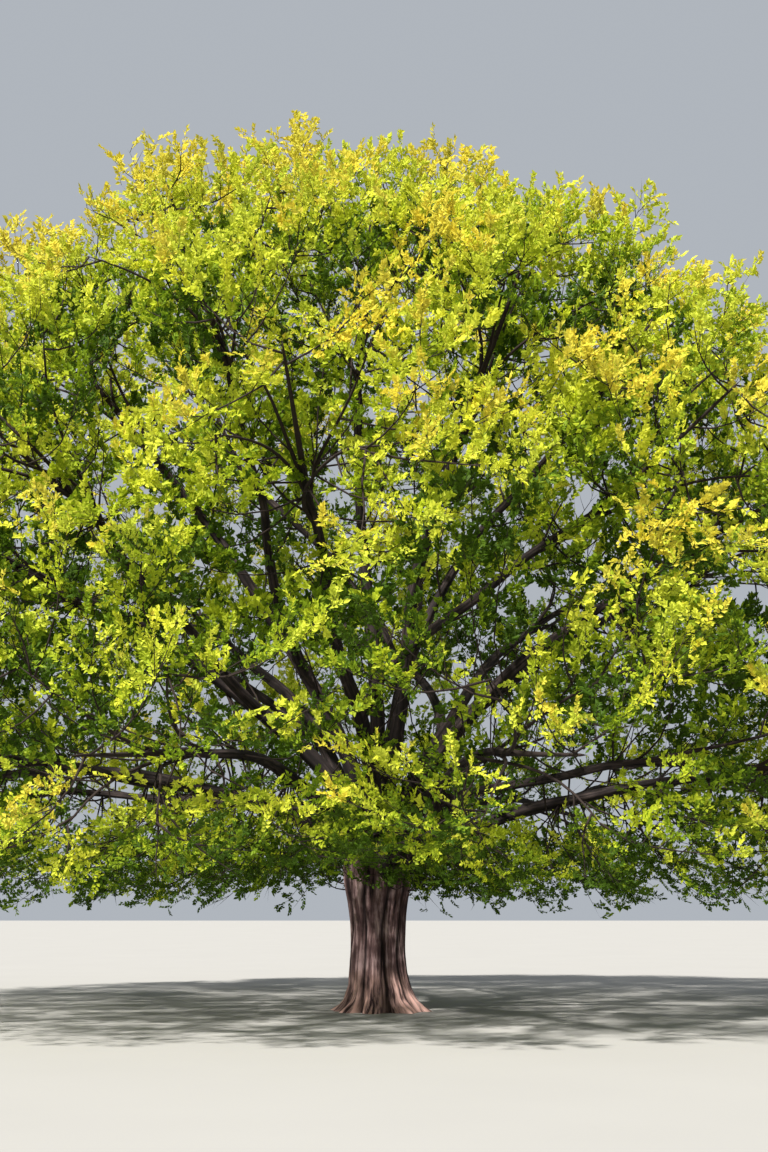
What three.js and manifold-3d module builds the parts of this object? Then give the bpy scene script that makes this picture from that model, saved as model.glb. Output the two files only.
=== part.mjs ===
// An open-grown elm: a short fluted trunk with a flared foot, a fan of tapering boughs that fork once,
// and a broad domed crown in masses of twigs and leaves. Millimetres, +Z up. The origin is the centre of
// the flat cut under the trunk at ground level, and -Y is the side that faces the viewer.
import * as THREE from "three";
import { mergeVertices } from "three/addons/utils/BufferGeometryUtils.js";
import Module from "manifold-3d";

const wasm = await Module();
wasm.setup();

// The whole tree. The crown is a ball cut off above the ground, with a hem that rises and falls round it.
const TREE_HEIGHT = 17000;
const CROWN_RADIUS = 12000;
const CROWN_LEAN = -600; // the crown leans this far along X from the trunk
const CROWN_CENTRE = new THREE.Vector3(CROWN_LEAN, 0, TREE_HEIGHT - CROWN_RADIUS);
const CROWN_SWELL = 0.035; // how far one mass's own dome stands above or below the crown's, as a share
const HEM_HEIGHT = 1750; // the lowest leaves, above the ground
const HEM_RISE = 600; // and how much higher the hem is between them
const HEM_WAVES = 4;

// The trunk, as a round column with a flared foot, a waist, and a collar under the boughs.
const TRUNK_TOP = 3900;
const TRUNK_SHOULDER = 3000; // where the column starts to round over between the boughs
const TRUNK_WAIST = 505; // radius
const FOOT_FLARE = 330; // extra radius at the ground
const FOOT_HEIGHT = 370; // height in which the flare falls to a third
const COLLAR_SWELL = 150; // extra radius under the boughs
const COLLAR_FROM = 1500;
const COLLAR_TO = 2700;
const TRUNK_LEAN = -45; // the column's shift along X
const LEAN_HEIGHT = 1200; // height by which the shift is complete
const TRUNK_SIDES = 32;
const TRUNK_LEVELS = [0, 80, 200, 380, 700, 1200, 1800, 2400, TRUNK_SHOULDER];
const DOME_SLOPES = [35, 65]; // degrees: the rings of the rounded top
// Root buttresses and flutes: waves round the trunk, as [waves, share, turn].
const FLUTES = [
  [7, 0.55, 0.4],
  [4, 0.4, 1.9],
  [11, 0.25, 0.8],
];
const FLUTE_DEPTH = 0.035; // share of the radius, on the column
const BUTTRESS_DEPTH = 0.12; // and at the ground, on top of that
const BUTTRESS_HEIGHT = 300;

// The boughs.
const BOUGH_SIDES = 6;
const BOUGH_STEPS = 6;
const BOUGH_TIP = 60; // radius
const BOUGH_TAPER = 1.1; // 1 is an even taper, and more is faster near the trunk
const BOUGH_SINK = 0.55; // how far from the trunk's axis a bough starts, as a share of the waist
const ROOT_SWELL = 0.35; // a bough's own collar where it leaves, as a share of its radius
const ROOT_LENGTH = 2.5; // length of that collar against the radius
const FORK_GIRTH = 0.78; // a side bough's radius against the bough that carries it
const FORK_ALONG = 0.48; // how much of a side bough's first heading follows the bough that carries it
const ARCH_START = 0.38; // how long a bough keeps its first heading, as a share of its span
const ARCH_END = 0.34; // and its last
const BOUGH_SWAY = 150; // how far a bough wanders from a smooth arch
const SWAY_TURNS = 1.35; // turns of that wandering along a bough
const CLEARANCE = 0.3; // gap between pieces that meet

// The masses of foliage. A mass's stem turns outwards at its hub and goes on as its leading twig. The side
// twigs leave the stem in turn below the hub and lean out round it.
const HUB_DEPTH = 2800; // from the dome in to the hub
const STEM_LENGTH = 900; // from the bough to the hub
const STEM_RADIUS = 56;
const STEM_SIDES = 4;
const TWIG_RADIUS = 30; // of a side twig where it leaves
const TWIG_TIP = 27; // radius
const TWIG_SIDES = 3;
const TWIG_STEP = 160; // along the stem from one side twig to the next
const LEADING_TWIG = 0.7; // length, as a share of the way from the hub to the edge of the mass's space
const SIDE_TWIG = 0.55;
const SIDE_TWIGS = 4;
const SIDE_LEAN = 56; // degrees from the outward axis
const LEAN_JITTER = 5; // degrees
const TURN_JITTER = 10; // degrees

// The sprays of leaves on a twig, as [start along the twig, turn round the mass's axis, lean from it], in
// shares and degrees. The leading twig carries a whorl, and a side twig a fan towards the mass's edge.
const WHORL = [
  [0.72, 45, 80],
  [0.84, 135, 72],
  [0.77, 225, 80],
  [0.91, 315, 64],
];
const FAN = [
  [0.94, 42, 76],
  [0.85, -42, 76],
  [0.66, 4, 104],
];
const INNER_SPRAYS = 0.75; // share of the fans that keep their last spray, which turns inwards
const SPRAY_JITTER = 9; // degrees
const SPRAY_ROLL = 25; // degrees: how far a spray may be turned about its own length
const SPRAY_MIN = 800; // length
const SPRAY_MAX = 2900;
const SPRAY_VARIES = 0.15; // share of the greatest length
const SPRAY_STEP = 0.88; // a spray without room is tried again at this share of its length
const SKYWARD = 0.6; // how far the flat side of a spray turns from outwards to the sky
const SPRAY_WIDTH = 0.68; // width against length
const SPRAY_THICKNESS = 0.09; // thickness against length
const SPRAY_BELLY = 0.58; // where a spray is widest, as a share of its length
const CELL_MARGIN = 60; // between a mass and the sides of its space
const LIMB_MARGIN = 120; // between a spray and a limb it passes
const LIMB_SPACING = 150; // between the points of a limb that this is measured from

// The tiers of the crown, from the skirt up. Each mass hangs on one bough, and every second bough forks off
// the one before it. Angles are in degrees:
// turn is the first mass's azimuth, and hub the height angle of the masses from the crown's centre,
// leave holds the heights at which boughs leave the trunk, and girth is their radius there,
// rise and arrive are their slopes at the trunk and at the tip,
// fork is the share of a bough's length at which the next one leaves it.
const TIERS = [
  {
    name: "skirt",
    count: 11,
    turn: -74,
    hub: -5,
    leave: [2150, 2950],
    girth: 150,
    rise: 34,
    arrive: -6,
    fork: 0.3,
  },
  {
    name: "shoulder",
    count: 10,
    turn: -92,
    hub: 27,
    leave: [2750, 3300],
    girth: 180,
    rise: 58,
    arrive: 26,
    fork: 0.34,
  },
  {
    name: "upper",
    count: 6,
    turn: -60,
    hub: 55,
    leave: [3200, 3500],
    girth: 175,
    rise: 74,
    arrive: 52,
    fork: 0.36,
  },
  {
    name: "top",
    count: 1,
    turn: 0,
    hub: 88,
    leave: [3500, 3500],
    girth: 170,
    rise: 88,
    arrive: 84,
    fork: 0,
  },
];
const AZIMUTH_JITTER = 5; // degrees

const BARK = { color: 0x6b5650, roughness: 0.95, metalness: 0 };
const LEAVES = [
  { color: 0xb9bd2c, roughness: 0.7, metalness: 0 },
  { color: 0x8fa524, roughness: 0.7, metalness: 0 },
];

const UP = new THREE.Vector3(0, 0, 1);
const FORWARD = new THREE.Vector3(0, 1, 0);
const radians = THREE.MathUtils.degToRad;

/** A number from 0 to 1 that depends only on its keys, so that the same tree grows every time. */
function chance(...keys) {
  const mixed = 12.9898 * keys[0] + 78.233 * (keys[1] ?? 0) + 37.719 * (keys[2] ?? 0);
  const wave = Math.sin(mixed + 1) * 43758.5453;
  return wave - Math.floor(wave);
}

/** A number from -1 to 1, in the same way. */
function swing(...keys) {
  return 2 * chance(...keys) - 1;
}

/** A closed three.js shape as a solid that can be joined and cut. */
function solidOf(shape) {
  const bare = new THREE.BufferGeometry();
  bare.setAttribute("position", shape.getAttribute("position"));
  bare.setIndex(shape.getIndex());
  const merged = mergeVertices(bare, 1e-3);
  return new wasm.Manifold(
    new wasm.Mesh({
      numProp: 3,
      vertProperties: new Float32Array(merged.getAttribute("position").array),
      triVerts: new Uint32Array(merged.getIndex().array),
    }),
  );
}

/** A solid as a named three.js mesh. */
function meshOf(name, solid, finish) {
  const { numProp, vertProperties, triVerts } = solid.getMesh();
  const places = new Float32Array((vertProperties.length / numProp) * 3);
  for (let i = 0; i < places.length / 3; i++) {
    places.set(vertProperties.subarray(i * numProp, i * numProp + 3), i * 3);
  }
  const shape = new THREE.BufferGeometry();
  shape.setAttribute("position", new THREE.BufferAttribute(places, 3));
  shape.setIndex(new THREE.BufferAttribute(new Uint32Array(triVerts), 1));
  shape.computeVertexNormals();
  const mesh = new THREE.Mesh(shape, new THREE.MeshStandardMaterial(finish));
  mesh.name = name;
  return mesh;
}

/** The largest of a solid's separate bodies: a cut or a union can leave loose scraps. */
function largestBody(solid) {
  return solid.decompose().reduce((kept, body) => (body.volume() > kept.volume() ? body : kept));
}

/** The trunk's radius at a height and an angle round it, with its buttresses and flutes. */
function trunkRadius(height, angle) {
  const column =
    TRUNK_WAIST +
    FOOT_FLARE * Math.exp(-height / FOOT_HEIGHT) +
    COLLAR_SWELL * THREE.MathUtils.smoothstep(height, COLLAR_FROM, COLLAR_TO);
  const depth = FLUTE_DEPTH + BUTTRESS_DEPTH * Math.exp(-height / BUTTRESS_HEIGHT);
  const wave = FLUTES.reduce((sum, [waves, share, turn]) => sum + share * Math.cos(waves * angle + turn), 0);
  return column * (1 + depth * wave);
}

/** The trunk's centre at a height. */
function trunkCentre(height) {
  return new THREE.Vector3(TRUNK_LEAN * THREE.MathUtils.smoothstep(height, 0, LEAN_HEIGHT), 0, height);
}

/** The trunk, from its flat cut to its rounded top, grown by extra on every side. */
function trunkSolid(extra) {
  const column = TRUNK_LEVELS.map((height) => ({ height, share: 1 }));
  const dome = DOME_SLOPES.map((slope) => ({
    height: TRUNK_SHOULDER + (TRUNK_TOP - TRUNK_SHOULDER) * Math.sin(radians(slope)),
    share: Math.cos(radians(slope)),
  }));
  const rings = [...column, ...dome];
  const steps = rings.length - 1;
  const shape = new THREE.CylinderGeometry(1, 1, 1, TRUNK_SIDES, steps);
  const position = shape.getAttribute("position");
  const vertex = new THREE.Vector3();
  for (let i = 0; i < position.count; i++) {
    vertex.fromBufferAttribute(position, i);
    const { height, share } = rings[Math.round((vertex.y + 0.5) * steps)];
    const angle = Math.atan2(-vertex.z, vertex.x);
    const onAxis = Math.hypot(vertex.x, vertex.z) < 0.5;
    const radius = onAxis ? 0 : trunkRadius(height, angle) * share + extra;
    const lift = onAxis && vertex.y > 0 ? (TRUNK_TOP - height) / 2 + extra : 0;
    const centre = trunkCentre(height);
    position.setXYZ(
      i,
      centre.x + radius * Math.cos(angle),
      centre.y + radius * Math.sin(angle),
      height + lift - (height === 0 ? extra : 0),
    );
  }
  return solidOf(shape);
}

/** A round limb along a curve, made by bending a cylinder. radiusAt takes the share of the way along. */
function limbSolid(curve, radiusAt, sides, steps) {
  const frames = curve.computeFrenetFrames(steps, false);
  const shape = new THREE.CylinderGeometry(1, 1, 1, sides, steps);
  const position = shape.getAttribute("position");
  const vertex = new THREE.Vector3();
  for (let i = 0; i < position.count; i++) {
    vertex.fromBufferAttribute(position, i);
    const step = Math.round((vertex.y + 0.5) * steps);
    const radius = radiusAt(step / steps);
    const place = curve
      .getPointAt(step / steps)
      .addScaledVector(frames.normals[step], vertex.x * radius)
      .addScaledVector(frames.binormals[step], -vertex.z * radius);
    position.setXYZ(i, place.x, place.y, place.z);
  }
  return solidOf(shape);
}

/** A line with corners, which a limb follows with one ring at each corner. */
class BentLine extends THREE.Curve {
  constructor(corners) {
    super();
    this.corners = corners;
  }

  getPoint(share, target = new THREE.Vector3()) {
    const at = share * (this.corners.length - 1);
    const piece = Math.min(Math.floor(at), this.corners.length - 2);
    return target.lerpVectors(this.corners[piece], this.corners[piece + 1], at - piece);
  }

  getPointAt(share, target) {
    return this.getPoint(share, target);
  }
}

/** A level direction at an azimuth, tilted up by a slope. Both are in degrees. */
function heading(azimuth, slope) {
  const level = Math.cos(radians(slope));
  return new THREE.Vector3(
    level * Math.cos(radians(azimuth)),
    level * Math.sin(radians(azimuth)),
    Math.sin(radians(slope)),
  );
}

/** Where each mass of the crown has its hub, and which way it faces. */
function layOutMasses() {
  const masses = [];
  for (const tier of TIERS) {
    for (let k = 0; k < tier.count; k++) {
      const key = masses.length;
      const azimuth = tier.turn + (360 * k) / tier.count + AZIMUTH_JITTER * swing(key, 1);
      const axis = heading(azimuth, tier.hub);
      const dome = CROWN_RADIUS * (1 + CROWN_SWELL * swing(key, 2));
      const hub = CROWN_CENTRE.clone().addScaledVector(axis, dome - HUB_DEPTH);
      masses.push({ key, tier, order: k, azimuth, axis, dome, hub });
    }
  }
  return masses;
}

/** The point and slope at which a mass's bough ends and its stem begins. */
function boughTip(mass) {
  const way = heading(mass.azimuth, mass.tier.arrive);
  return { tip: mass.hub.clone().addScaledVector(way, -STEM_LENGTH), way };
}

/** A bough's curve from a start and first heading to a mass, as an arch with a little sway. */
function boughCurve(mass, start, first) {
  const { tip, way } = boughTip(mass);
  const span = start.distanceTo(tip);
  const sideways = new THREE.Vector3().crossVectors(UP, way).normalize();
  const arch = new THREE.CubicBezierCurve3(
    start,
    start.clone().addScaledVector(first, span * ARCH_START),
    tip.clone().addScaledVector(way, -span * ARCH_END),
    tip,
  );
  const points = [];
  for (let i = 0; i <= BOUGH_STEPS; i++) {
    const share = i / BOUGH_STEPS;
    const swayed = BOUGH_SWAY * Math.sin(Math.PI * share) ** 2;
    const wave = 2 * Math.PI * (SWAY_TURNS * share + chance(mass.key, 4));
    points.push(
      arch
        .getPoint(share)
        .addScaledVector(sideways, swayed * Math.sin(wave))
        .addScaledVector(UP, 0.6 * swayed * Math.cos(wave)),
    );
  }
  // The last stretch is straight, so that the stem can go on squarely from the end face.
  points.splice(BOUGH_STEPS, 0, tip.clone().addScaledVector(way, -span / BOUGH_STEPS / 2));
  return new THREE.CatmullRomCurve3(points);
}

/** A bough's radius along its length: an even taper on top of a short collar. */
function boughRadius(girth, length) {
  return (share) => {
    const collar = ROOT_SWELL * Math.exp((-share * length) / (ROOT_LENGTH * girth));
    return BOUGH_TIP + (girth - BOUGH_TIP) * (1 - share) ** BOUGH_TAPER * (1 + collar);
  };
}

/** Every bough: the mass it carries, its curve and its radius along it. */
function layOutBoughs(masses) {
  const boughs = [];
  for (const mass of masses) {
    const { tier, order, azimuth, key } = mass;
    const before = boughs.at(-1);
    const forks = order % 2 === 1;
    let start, first, girth;
    if (forks) {
      start = before.curve.getPointAt(tier.fork);
      const towards = boughTip(mass).tip.sub(start).normalize();
      first = towards.lerp(before.curve.getTangentAt(tier.fork), FORK_ALONG).normalize();
      girth = FORK_GIRTH * before.radiusAt(tier.fork);
    } else {
      const [low, high] = tier.leave;
      const height = low + (high - low) * chance(key, 5);
      const out = heading(azimuth, 0).multiplyScalar(BOUGH_SINK * TRUNK_WAIST * Math.cos(radians(tier.rise)));
      start = trunkCentre(height).add(out);
      first = heading(azimuth, tier.rise);
      girth = tier.girth;
    }
    const curve = boughCurve(mass, start, first);
    const radiusAt = boughRadius(girth, curve.getLength());
    boughs.push({ mass, curve, radiusAt });
  }
  return boughs;
}

/** The boughs as solids, each cut clear of the trunk and of the boughs before it. */
function growBoughs(boughs, trunk) {
  const grown = [];
  const shapes = [];
  for (const bough of boughs) {
    const swollen = (share) => bough.radiusAt(share) + 2 * CLEARANCE;
    let solid = limbSolid(bough.curve, bough.radiusAt, BOUGH_SIDES, BOUGH_STEPS).subtract(trunk);
    for (const other of shapes) solid = solid.subtract(other);
    grown.push(largestBody(solid));
    shapes.push(limbSolid(bough.curve, swollen, BOUGH_SIDES, BOUGH_STEPS));
  }
  return grown;
}

/** The flat sides of a mass's space: half-way planes to the other masses, and the level of the hem. */
function spaceSides(mass, masses) {
  const sides = masses
    .filter((other) => other !== mass)
    .map((other) => {
      const normal = other.hub.clone().sub(mass.hub);
      const level = normal.length() / 2 - CELL_MARGIN;
      normal.normalize();
      return { normal, level: level + normal.dot(mass.hub) };
    });
  const lift = 0.5 + 0.5 * Math.cos(radians(HEM_WAVES * (mass.azimuth + 90)));
  sides.push({ normal: new THREE.Vector3(0, 0, -1), level: -HEM_HEIGHT - HEM_RISE * lift });
  return sides;
}

/** How far a point lies inside a mass's space. It is negative outside. */
function depthInside(point, mass) {
  const fromDome = mass.dome - point.distanceTo(CROWN_CENTRE);
  return mass.sides.reduce((least, { normal, level }) => Math.min(least, level - normal.dot(point)), fromDome);
}

/** How far one can go from a point before the edge of a mass's space. */
function reach(from, way, mass) {
  let far = SPRAY_MAX * 2;
  for (const { normal, level } of mass.sides) {
    const slope = normal.dot(way);
    if (slope > 1e-6) far = Math.min(far, (level - normal.dot(from)) / slope);
  }
  const centred = from.clone().sub(CROWN_CENTRE);
  const along = centred.dot(way);
  const toDome = -along + Math.sqrt(along * along - centred.lengthSq() + mass.dome * mass.dome);
  return Math.max(0, Math.min(far, toDome));
}

/** The direction square to a way that comes nearest to a wanted one. */
function squareTo(way, wanted) {
  const square = wanted.clone().addScaledVector(way, -way.dot(wanted));
  return square.length() < 0.2 ? square.crossVectors(way, FORWARD).normalize() : square.normalize();
}

/** A direction that leans away from a mass's outward axis, turned round it from level. In degrees. */
function leaning(mass, turn, lean) {
  const hinge = squareTo(mass.axis, UP).applyAxisAngle(mass.axis, radians(turn));
  return mass.axis.clone().applyAxisAngle(hinge, radians(lean));
}

/** The stem of a mass, and its twigs: the leading one, then the side twigs that lean out round it. */
function layOutTwigs(mass) {
  const { tip, way } = boughTip(mass);
  const foot = tip.clone().addScaledVector(way, CLEARANCE);
  const top = mass.hub.clone().addScaledVector(mass.axis, LEADING_TWIG * reach(mass.hub, mass.axis, mass));
  const twigs = [{ k: 0, turn: 0, curve: new THREE.LineCurve3(mass.hub, top), plan: WHORL }];
  for (let k = 1; k <= SIDE_TWIGS; k++) {
    const start = mass.hub.clone().addScaledVector(way, (k - SIDE_TWIGS - 0.25) * TWIG_STEP);
    const turn = 45 + (360 * k) / SIDE_TWIGS + TURN_JITTER * swing(mass.key, k, 9);
    const aim = leaning(mass, turn, SIDE_LEAN + LEAN_JITTER * swing(mass.key, k, 8));
    const end = mass.hub.clone().addScaledVector(aim, SIDE_TWIG * reach(mass.hub, aim, mass));
    const plan = chance(mass.key, k, 14) < INNER_SPRAYS ? FAN : FAN.slice(0, -1);
    twigs.push({ k, turn, curve: new THREE.LineCurve3(start, end), plan });
  }
  return { stem: new BentLine([foot, mass.hub, top]), twigs };
}

/** The sprays of a twig, each with its start, its direction and the way its flat side faces. */
function layOutSprays(mass, twig) {
  return twig.plan.map(([share, turn, lean], i) => {
    const key = 10 * twig.k + i;
    const root = twig.curve.getPoint(share);
    const way = leaning(
      mass,
      twig.turn + turn + SPRAY_JITTER * swing(mass.key, key, 10),
      lean + SPRAY_JITTER * swing(mass.key, key, 11),
    );
    const outward = root.clone().sub(CROWN_CENTRE).normalize().addScaledVector(UP, SKYWARD);
    const facing = squareTo(way, outward).applyAxisAngle(way, radians(SPRAY_ROLL) * swing(mass.key, key, 12));
    const longest = SPRAY_MAX * (1 - SPRAY_VARIES * chance(mass.key, key, 13));
    return { root, way, facing, across: new THREE.Vector3().crossVectors(facing, way), longest };
  });
}

/** A spray of leaves as an eight-sided pad that starts inside its twig. */
function padShape({ root, way, across, facing }, length) {
  const pad = new THREE.OctahedronGeometry(1).scale(
    length / 2,
    (length * SPRAY_WIDTH) / 2,
    (length * SPRAY_THICKNESS) / 2,
  );
  const position = pad.getAttribute("position");
  for (let i = 0; i < position.count; i++) {
    if (Math.abs(position.getX(i)) < 1) position.setX(i, (SPRAY_BELLY - 0.5) * length);
  }
  const frame = new THREE.Matrix4().makeBasis(way, across, facing);
  frame.setPosition(root.clone().addScaledVector(way, length / 2));
  return pad.applyMatrix4(frame);
}

/** Points spread over the leafy part of a spray, in rows across it. */
function padPoints({ root, way, across }, length) {
  const points = [];
  for (const share of [0.3, 0.45, SPRAY_BELLY, 0.8, 1]) {
    const taper = share < SPRAY_BELLY ? share / SPRAY_BELLY : (1 - share) / (1 - SPRAY_BELLY);
    const half = (SPRAY_WIDTH * length * taper) / 2;
    for (const side of [-half, -half / 2, 0, half / 2, half]) {
      points.push(root.clone().addScaledVector(way, share * length).addScaledVector(across, side));
    }
  }
  return points;
}

/** Whether every corner of a shape lies in a mass's space. */
function inSpace(shape, mass) {
  const position = shape.getAttribute("position");
  const corner = new THREE.Vector3();
  for (let i = 0; i < position.count; i++) {
    if (depthInside(corner.fromBufferAttribute(position, i), mass) < 0) return false;
  }
  return true;
}

/** A spray's pad at the greatest length that fits, or null where it has no room. */
function fitSpray(mass, spray, limbs) {
  let length = Math.min(spray.longest, reach(spray.root, spray.way, mass) - CELL_MARGIN);
  for (; length > SPRAY_MIN; length *= SPRAY_STEP) {
    const pad = padShape(spray, length);
    const points = padPoints(spray, length);
    const touches = (ball) => points.some((point) => point.distanceTo(ball.centre) < ball.radius + LIMB_MARGIN);
    if (inSpace(pad, mass) && !limbs.some(touches)) return pad;
  }
  return null;
}

/** Balls along every bough, close enough together to test whether a spray would touch it. */
function limbBalls(boughs) {
  return boughs.flatMap(({ curve, radiusAt }) => {
    const count = Math.ceil(curve.getLength() / LIMB_SPACING);
    return Array.from({ length: count + 1 }, (_, i) => ({
      centre: curve.getPointAt(i / count),
      radius: radiusAt(i / count),
    }));
  });
}

/** A radius that falls evenly from one end of a limb to the other. */
function evenTaper(from, to) {
  return (share) => from + (to - from) * share;
}

/** A mass of foliage: a stem, its twigs, and the sprays sunk in them, as one solid. */
function growMass(mass, limbs) {
  const near = limbs.filter(({ centre }) => centre.distanceTo(mass.hub) < SPRAY_MAX * 2);
  const { stem, twigs } = layOutTwigs(mass);
  const wood = limbSolid(stem, evenTaper(STEM_RADIUS, TWIG_TIP), STEM_SIDES, 2);
  const taper = evenTaper(TWIG_RADIUS, TWIG_TIP);
  const side = twigs.slice(1).map(({ curve }) => limbSolid(curve, taper, TWIG_SIDES, 1));
  const sprays = twigs.flatMap((twig) => layOutSprays(mass, twig));
  const pads = sprays.map((spray) => fitSpray(mass, spray, near)).filter((pad) => pad);
  return largestBody(wasm.Manifold.union([wood, ...side, ...pads.map(solidOf)]));
}

const masses = layOutMasses();
masses.forEach((mass) => {
  mass.sides = spaceSides(mass, masses);
});
const boughs = layOutBoughs(masses);
const limbs = limbBalls(boughs);

const tree = new THREE.Group();
tree.add(meshOf("trunk", trunkSolid(0), BARK));
growBoughs(boughs, trunkSolid(CLEARANCE)).forEach((solid, i) => {
  const { tier, order } = masses[i];
  tree.add(meshOf(`${tier.name}_bough_${order + 1}`, solid, BARK));
});
masses.forEach((mass) => {
  const { tier, order } = mass;
  tree.add(meshOf(`${tier.name}_foliage_${order + 1}`, growMass(mass, limbs), LEAVES[order % 2]));
});

export default tree;
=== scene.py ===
"""An open-grown elm in spring leaf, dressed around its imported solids.

The trunk and the boughs get meshes with the relief of their bark. Each mass of foliage is grown again by the
rule that gave its solid, and carried on to finer twigs, shoots and leaves. Everything is in metres, +Z up,
with the viewer on the -Y side.
"""

import logging
from dataclasses import dataclass, field
from enum import Enum

import bpy
import numpy as np
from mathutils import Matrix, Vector


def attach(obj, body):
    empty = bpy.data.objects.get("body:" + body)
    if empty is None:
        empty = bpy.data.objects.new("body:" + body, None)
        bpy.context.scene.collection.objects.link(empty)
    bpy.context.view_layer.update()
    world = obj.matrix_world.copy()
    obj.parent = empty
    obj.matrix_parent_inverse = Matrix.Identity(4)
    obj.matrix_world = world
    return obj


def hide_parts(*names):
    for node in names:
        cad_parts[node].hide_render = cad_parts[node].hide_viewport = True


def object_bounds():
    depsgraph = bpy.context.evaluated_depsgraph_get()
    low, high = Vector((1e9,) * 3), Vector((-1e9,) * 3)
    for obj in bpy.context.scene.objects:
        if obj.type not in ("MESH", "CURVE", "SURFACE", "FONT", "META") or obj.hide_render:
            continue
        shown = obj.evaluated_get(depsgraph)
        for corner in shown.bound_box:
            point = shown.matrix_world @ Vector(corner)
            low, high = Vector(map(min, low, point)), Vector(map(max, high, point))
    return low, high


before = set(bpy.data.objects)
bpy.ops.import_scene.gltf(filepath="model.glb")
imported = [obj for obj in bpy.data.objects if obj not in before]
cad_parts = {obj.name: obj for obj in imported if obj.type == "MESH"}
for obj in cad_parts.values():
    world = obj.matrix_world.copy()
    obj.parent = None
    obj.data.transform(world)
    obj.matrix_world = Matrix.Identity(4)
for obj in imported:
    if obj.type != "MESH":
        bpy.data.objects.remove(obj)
cad_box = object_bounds()

log = logging.getLogger("elm")

Array = np.ndarray
Socket = bpy.types.NodeSocket
Inputs = dict[str | int, object]
Colour = tuple[float, float, float]
Span = tuple[float, float]  # from low to high
UP = np.array([0.0, 0.0, 1.0])
FORWARD = np.array([0.0, 1.0, 0.0])
GOLDEN_ANGLE = 137.508  # degrees
SPIRAL = 137.5  # degrees from one branch to the next
HEXAGON = 0.866  # the area of a hexagonal cell when centres lie one apart
TINY = 1e-12
BODY = "root"
MOST_TRIANGLES = 199_000  # in one piece
PIECE_TIERS = (("skirt",), ("shoulder",), ("upper", "top"))  # the tiers that share their pieces


def chance(*keys: float) -> float:
    """A number from 0 to 1 that depends only on its keys: the fraction of a large multiple of a sine.

    Args:
        keys: up to three numbers.

    Returns:
        The same number that the source's rule gives for these keys.
    """
    first, second, third = (*keys, 0, 0)[:3]
    wave = np.sin(12.9898 * first + 78.233 * second + 37.719 * third + 1) * 43758.5453
    return float(wave - np.floor(wave))


def swing(*keys: float) -> float:
    """A number from -1 to 1, in the same way."""
    return 2 * chance(*keys) - 1


def unit(vectors: Array) -> Array:
    """The vectors at length one, along the last axis."""
    return vectors / np.maximum(np.linalg.norm(vectors, axis=-1, keepdims=True), TINY)


def dot(first: Array, second: Array) -> Array:
    """Scalar products along the last axis, which stays with length one."""
    return np.sum(first * second, axis=-1, keepdims=True)


def turned(vectors: Array, axes: Array, degrees: Array) -> Array:
    """Turns vectors about unit axes: the part square to the axis swings round it, the rest stays.

    Args:
        vectors: the vectors.
        axes: one unit axis, or one for each vector.
        degrees: one angle, or one for each vector.

    Returns:
        The turned vectors.
    """
    angle = np.radians(np.asarray(degrees, float))[..., None]
    kept = axes * dot(vectors, axes)
    return kept + (vectors - kept) * np.cos(angle) + np.cross(axes, vectors) * np.sin(angle)


def heading(azimuth: float, slope: float) -> Array:
    """A level direction at an azimuth, tilted up by a slope, both in degrees."""
    turn, rise = np.radians(azimuth), np.radians(slope)
    return np.array([np.cos(rise) * np.cos(turn), np.cos(rise) * np.sin(turn), np.sin(rise)])


def square_to(way: Array, wanted: Array) -> Array:
    """The direction square to a way that comes nearest to a wanted one.

    Args:
        way: a unit vector.
        wanted: the wanted direction.

    Returns:
        A unit vector. Where the two are nearly parallel, it is square to both.
    """
    square = wanted - way * np.dot(way, wanted)
    return unit(np.cross(way, FORWARD) if np.linalg.norm(square) < 0.2 else square)


def evenly_round(count: int) -> tuple[Array, Array]:
    """Directions spread evenly round a ball by the golden angle.

    Args:
        count: the number of directions.

    Returns:
        The directions, and their azimuths in degrees.
    """
    number = np.arange(count) + 0.5
    height = 1 - 2 * number / count
    turn = GOLDEN_ANGLE * number
    level = np.sqrt(1 - height**2)
    azimuth = np.radians(turn)
    return np.stack([level * np.cos(azimuth), level * np.sin(azimuth), height], axis=-1), turn


def smoothstep(value: Array, low: float, high: float) -> Array:
    """Rises from 0 at low to 1 at high as 3t^2 - 2t^3."""
    share = np.clip((value - low) / (high - low), 0, 1)
    return share * share * (3 - 2 * share)


def between(low: Array, high: Array, share: Array) -> Array:
    """The value at a share of the way from low to high."""
    return low + (high - low) * share


def half_wave(phase: Array) -> Array:
    """A sine that is moved and halved to run from 0 to 1."""
    return 0.5 + 0.5 * np.sin(phase)


def valley(phase: Array) -> Array:
    """One less the size of a sine: 1 where it passes through zero, and 0 where it is largest."""
    return 1 - np.abs(np.sin(phase))


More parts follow.
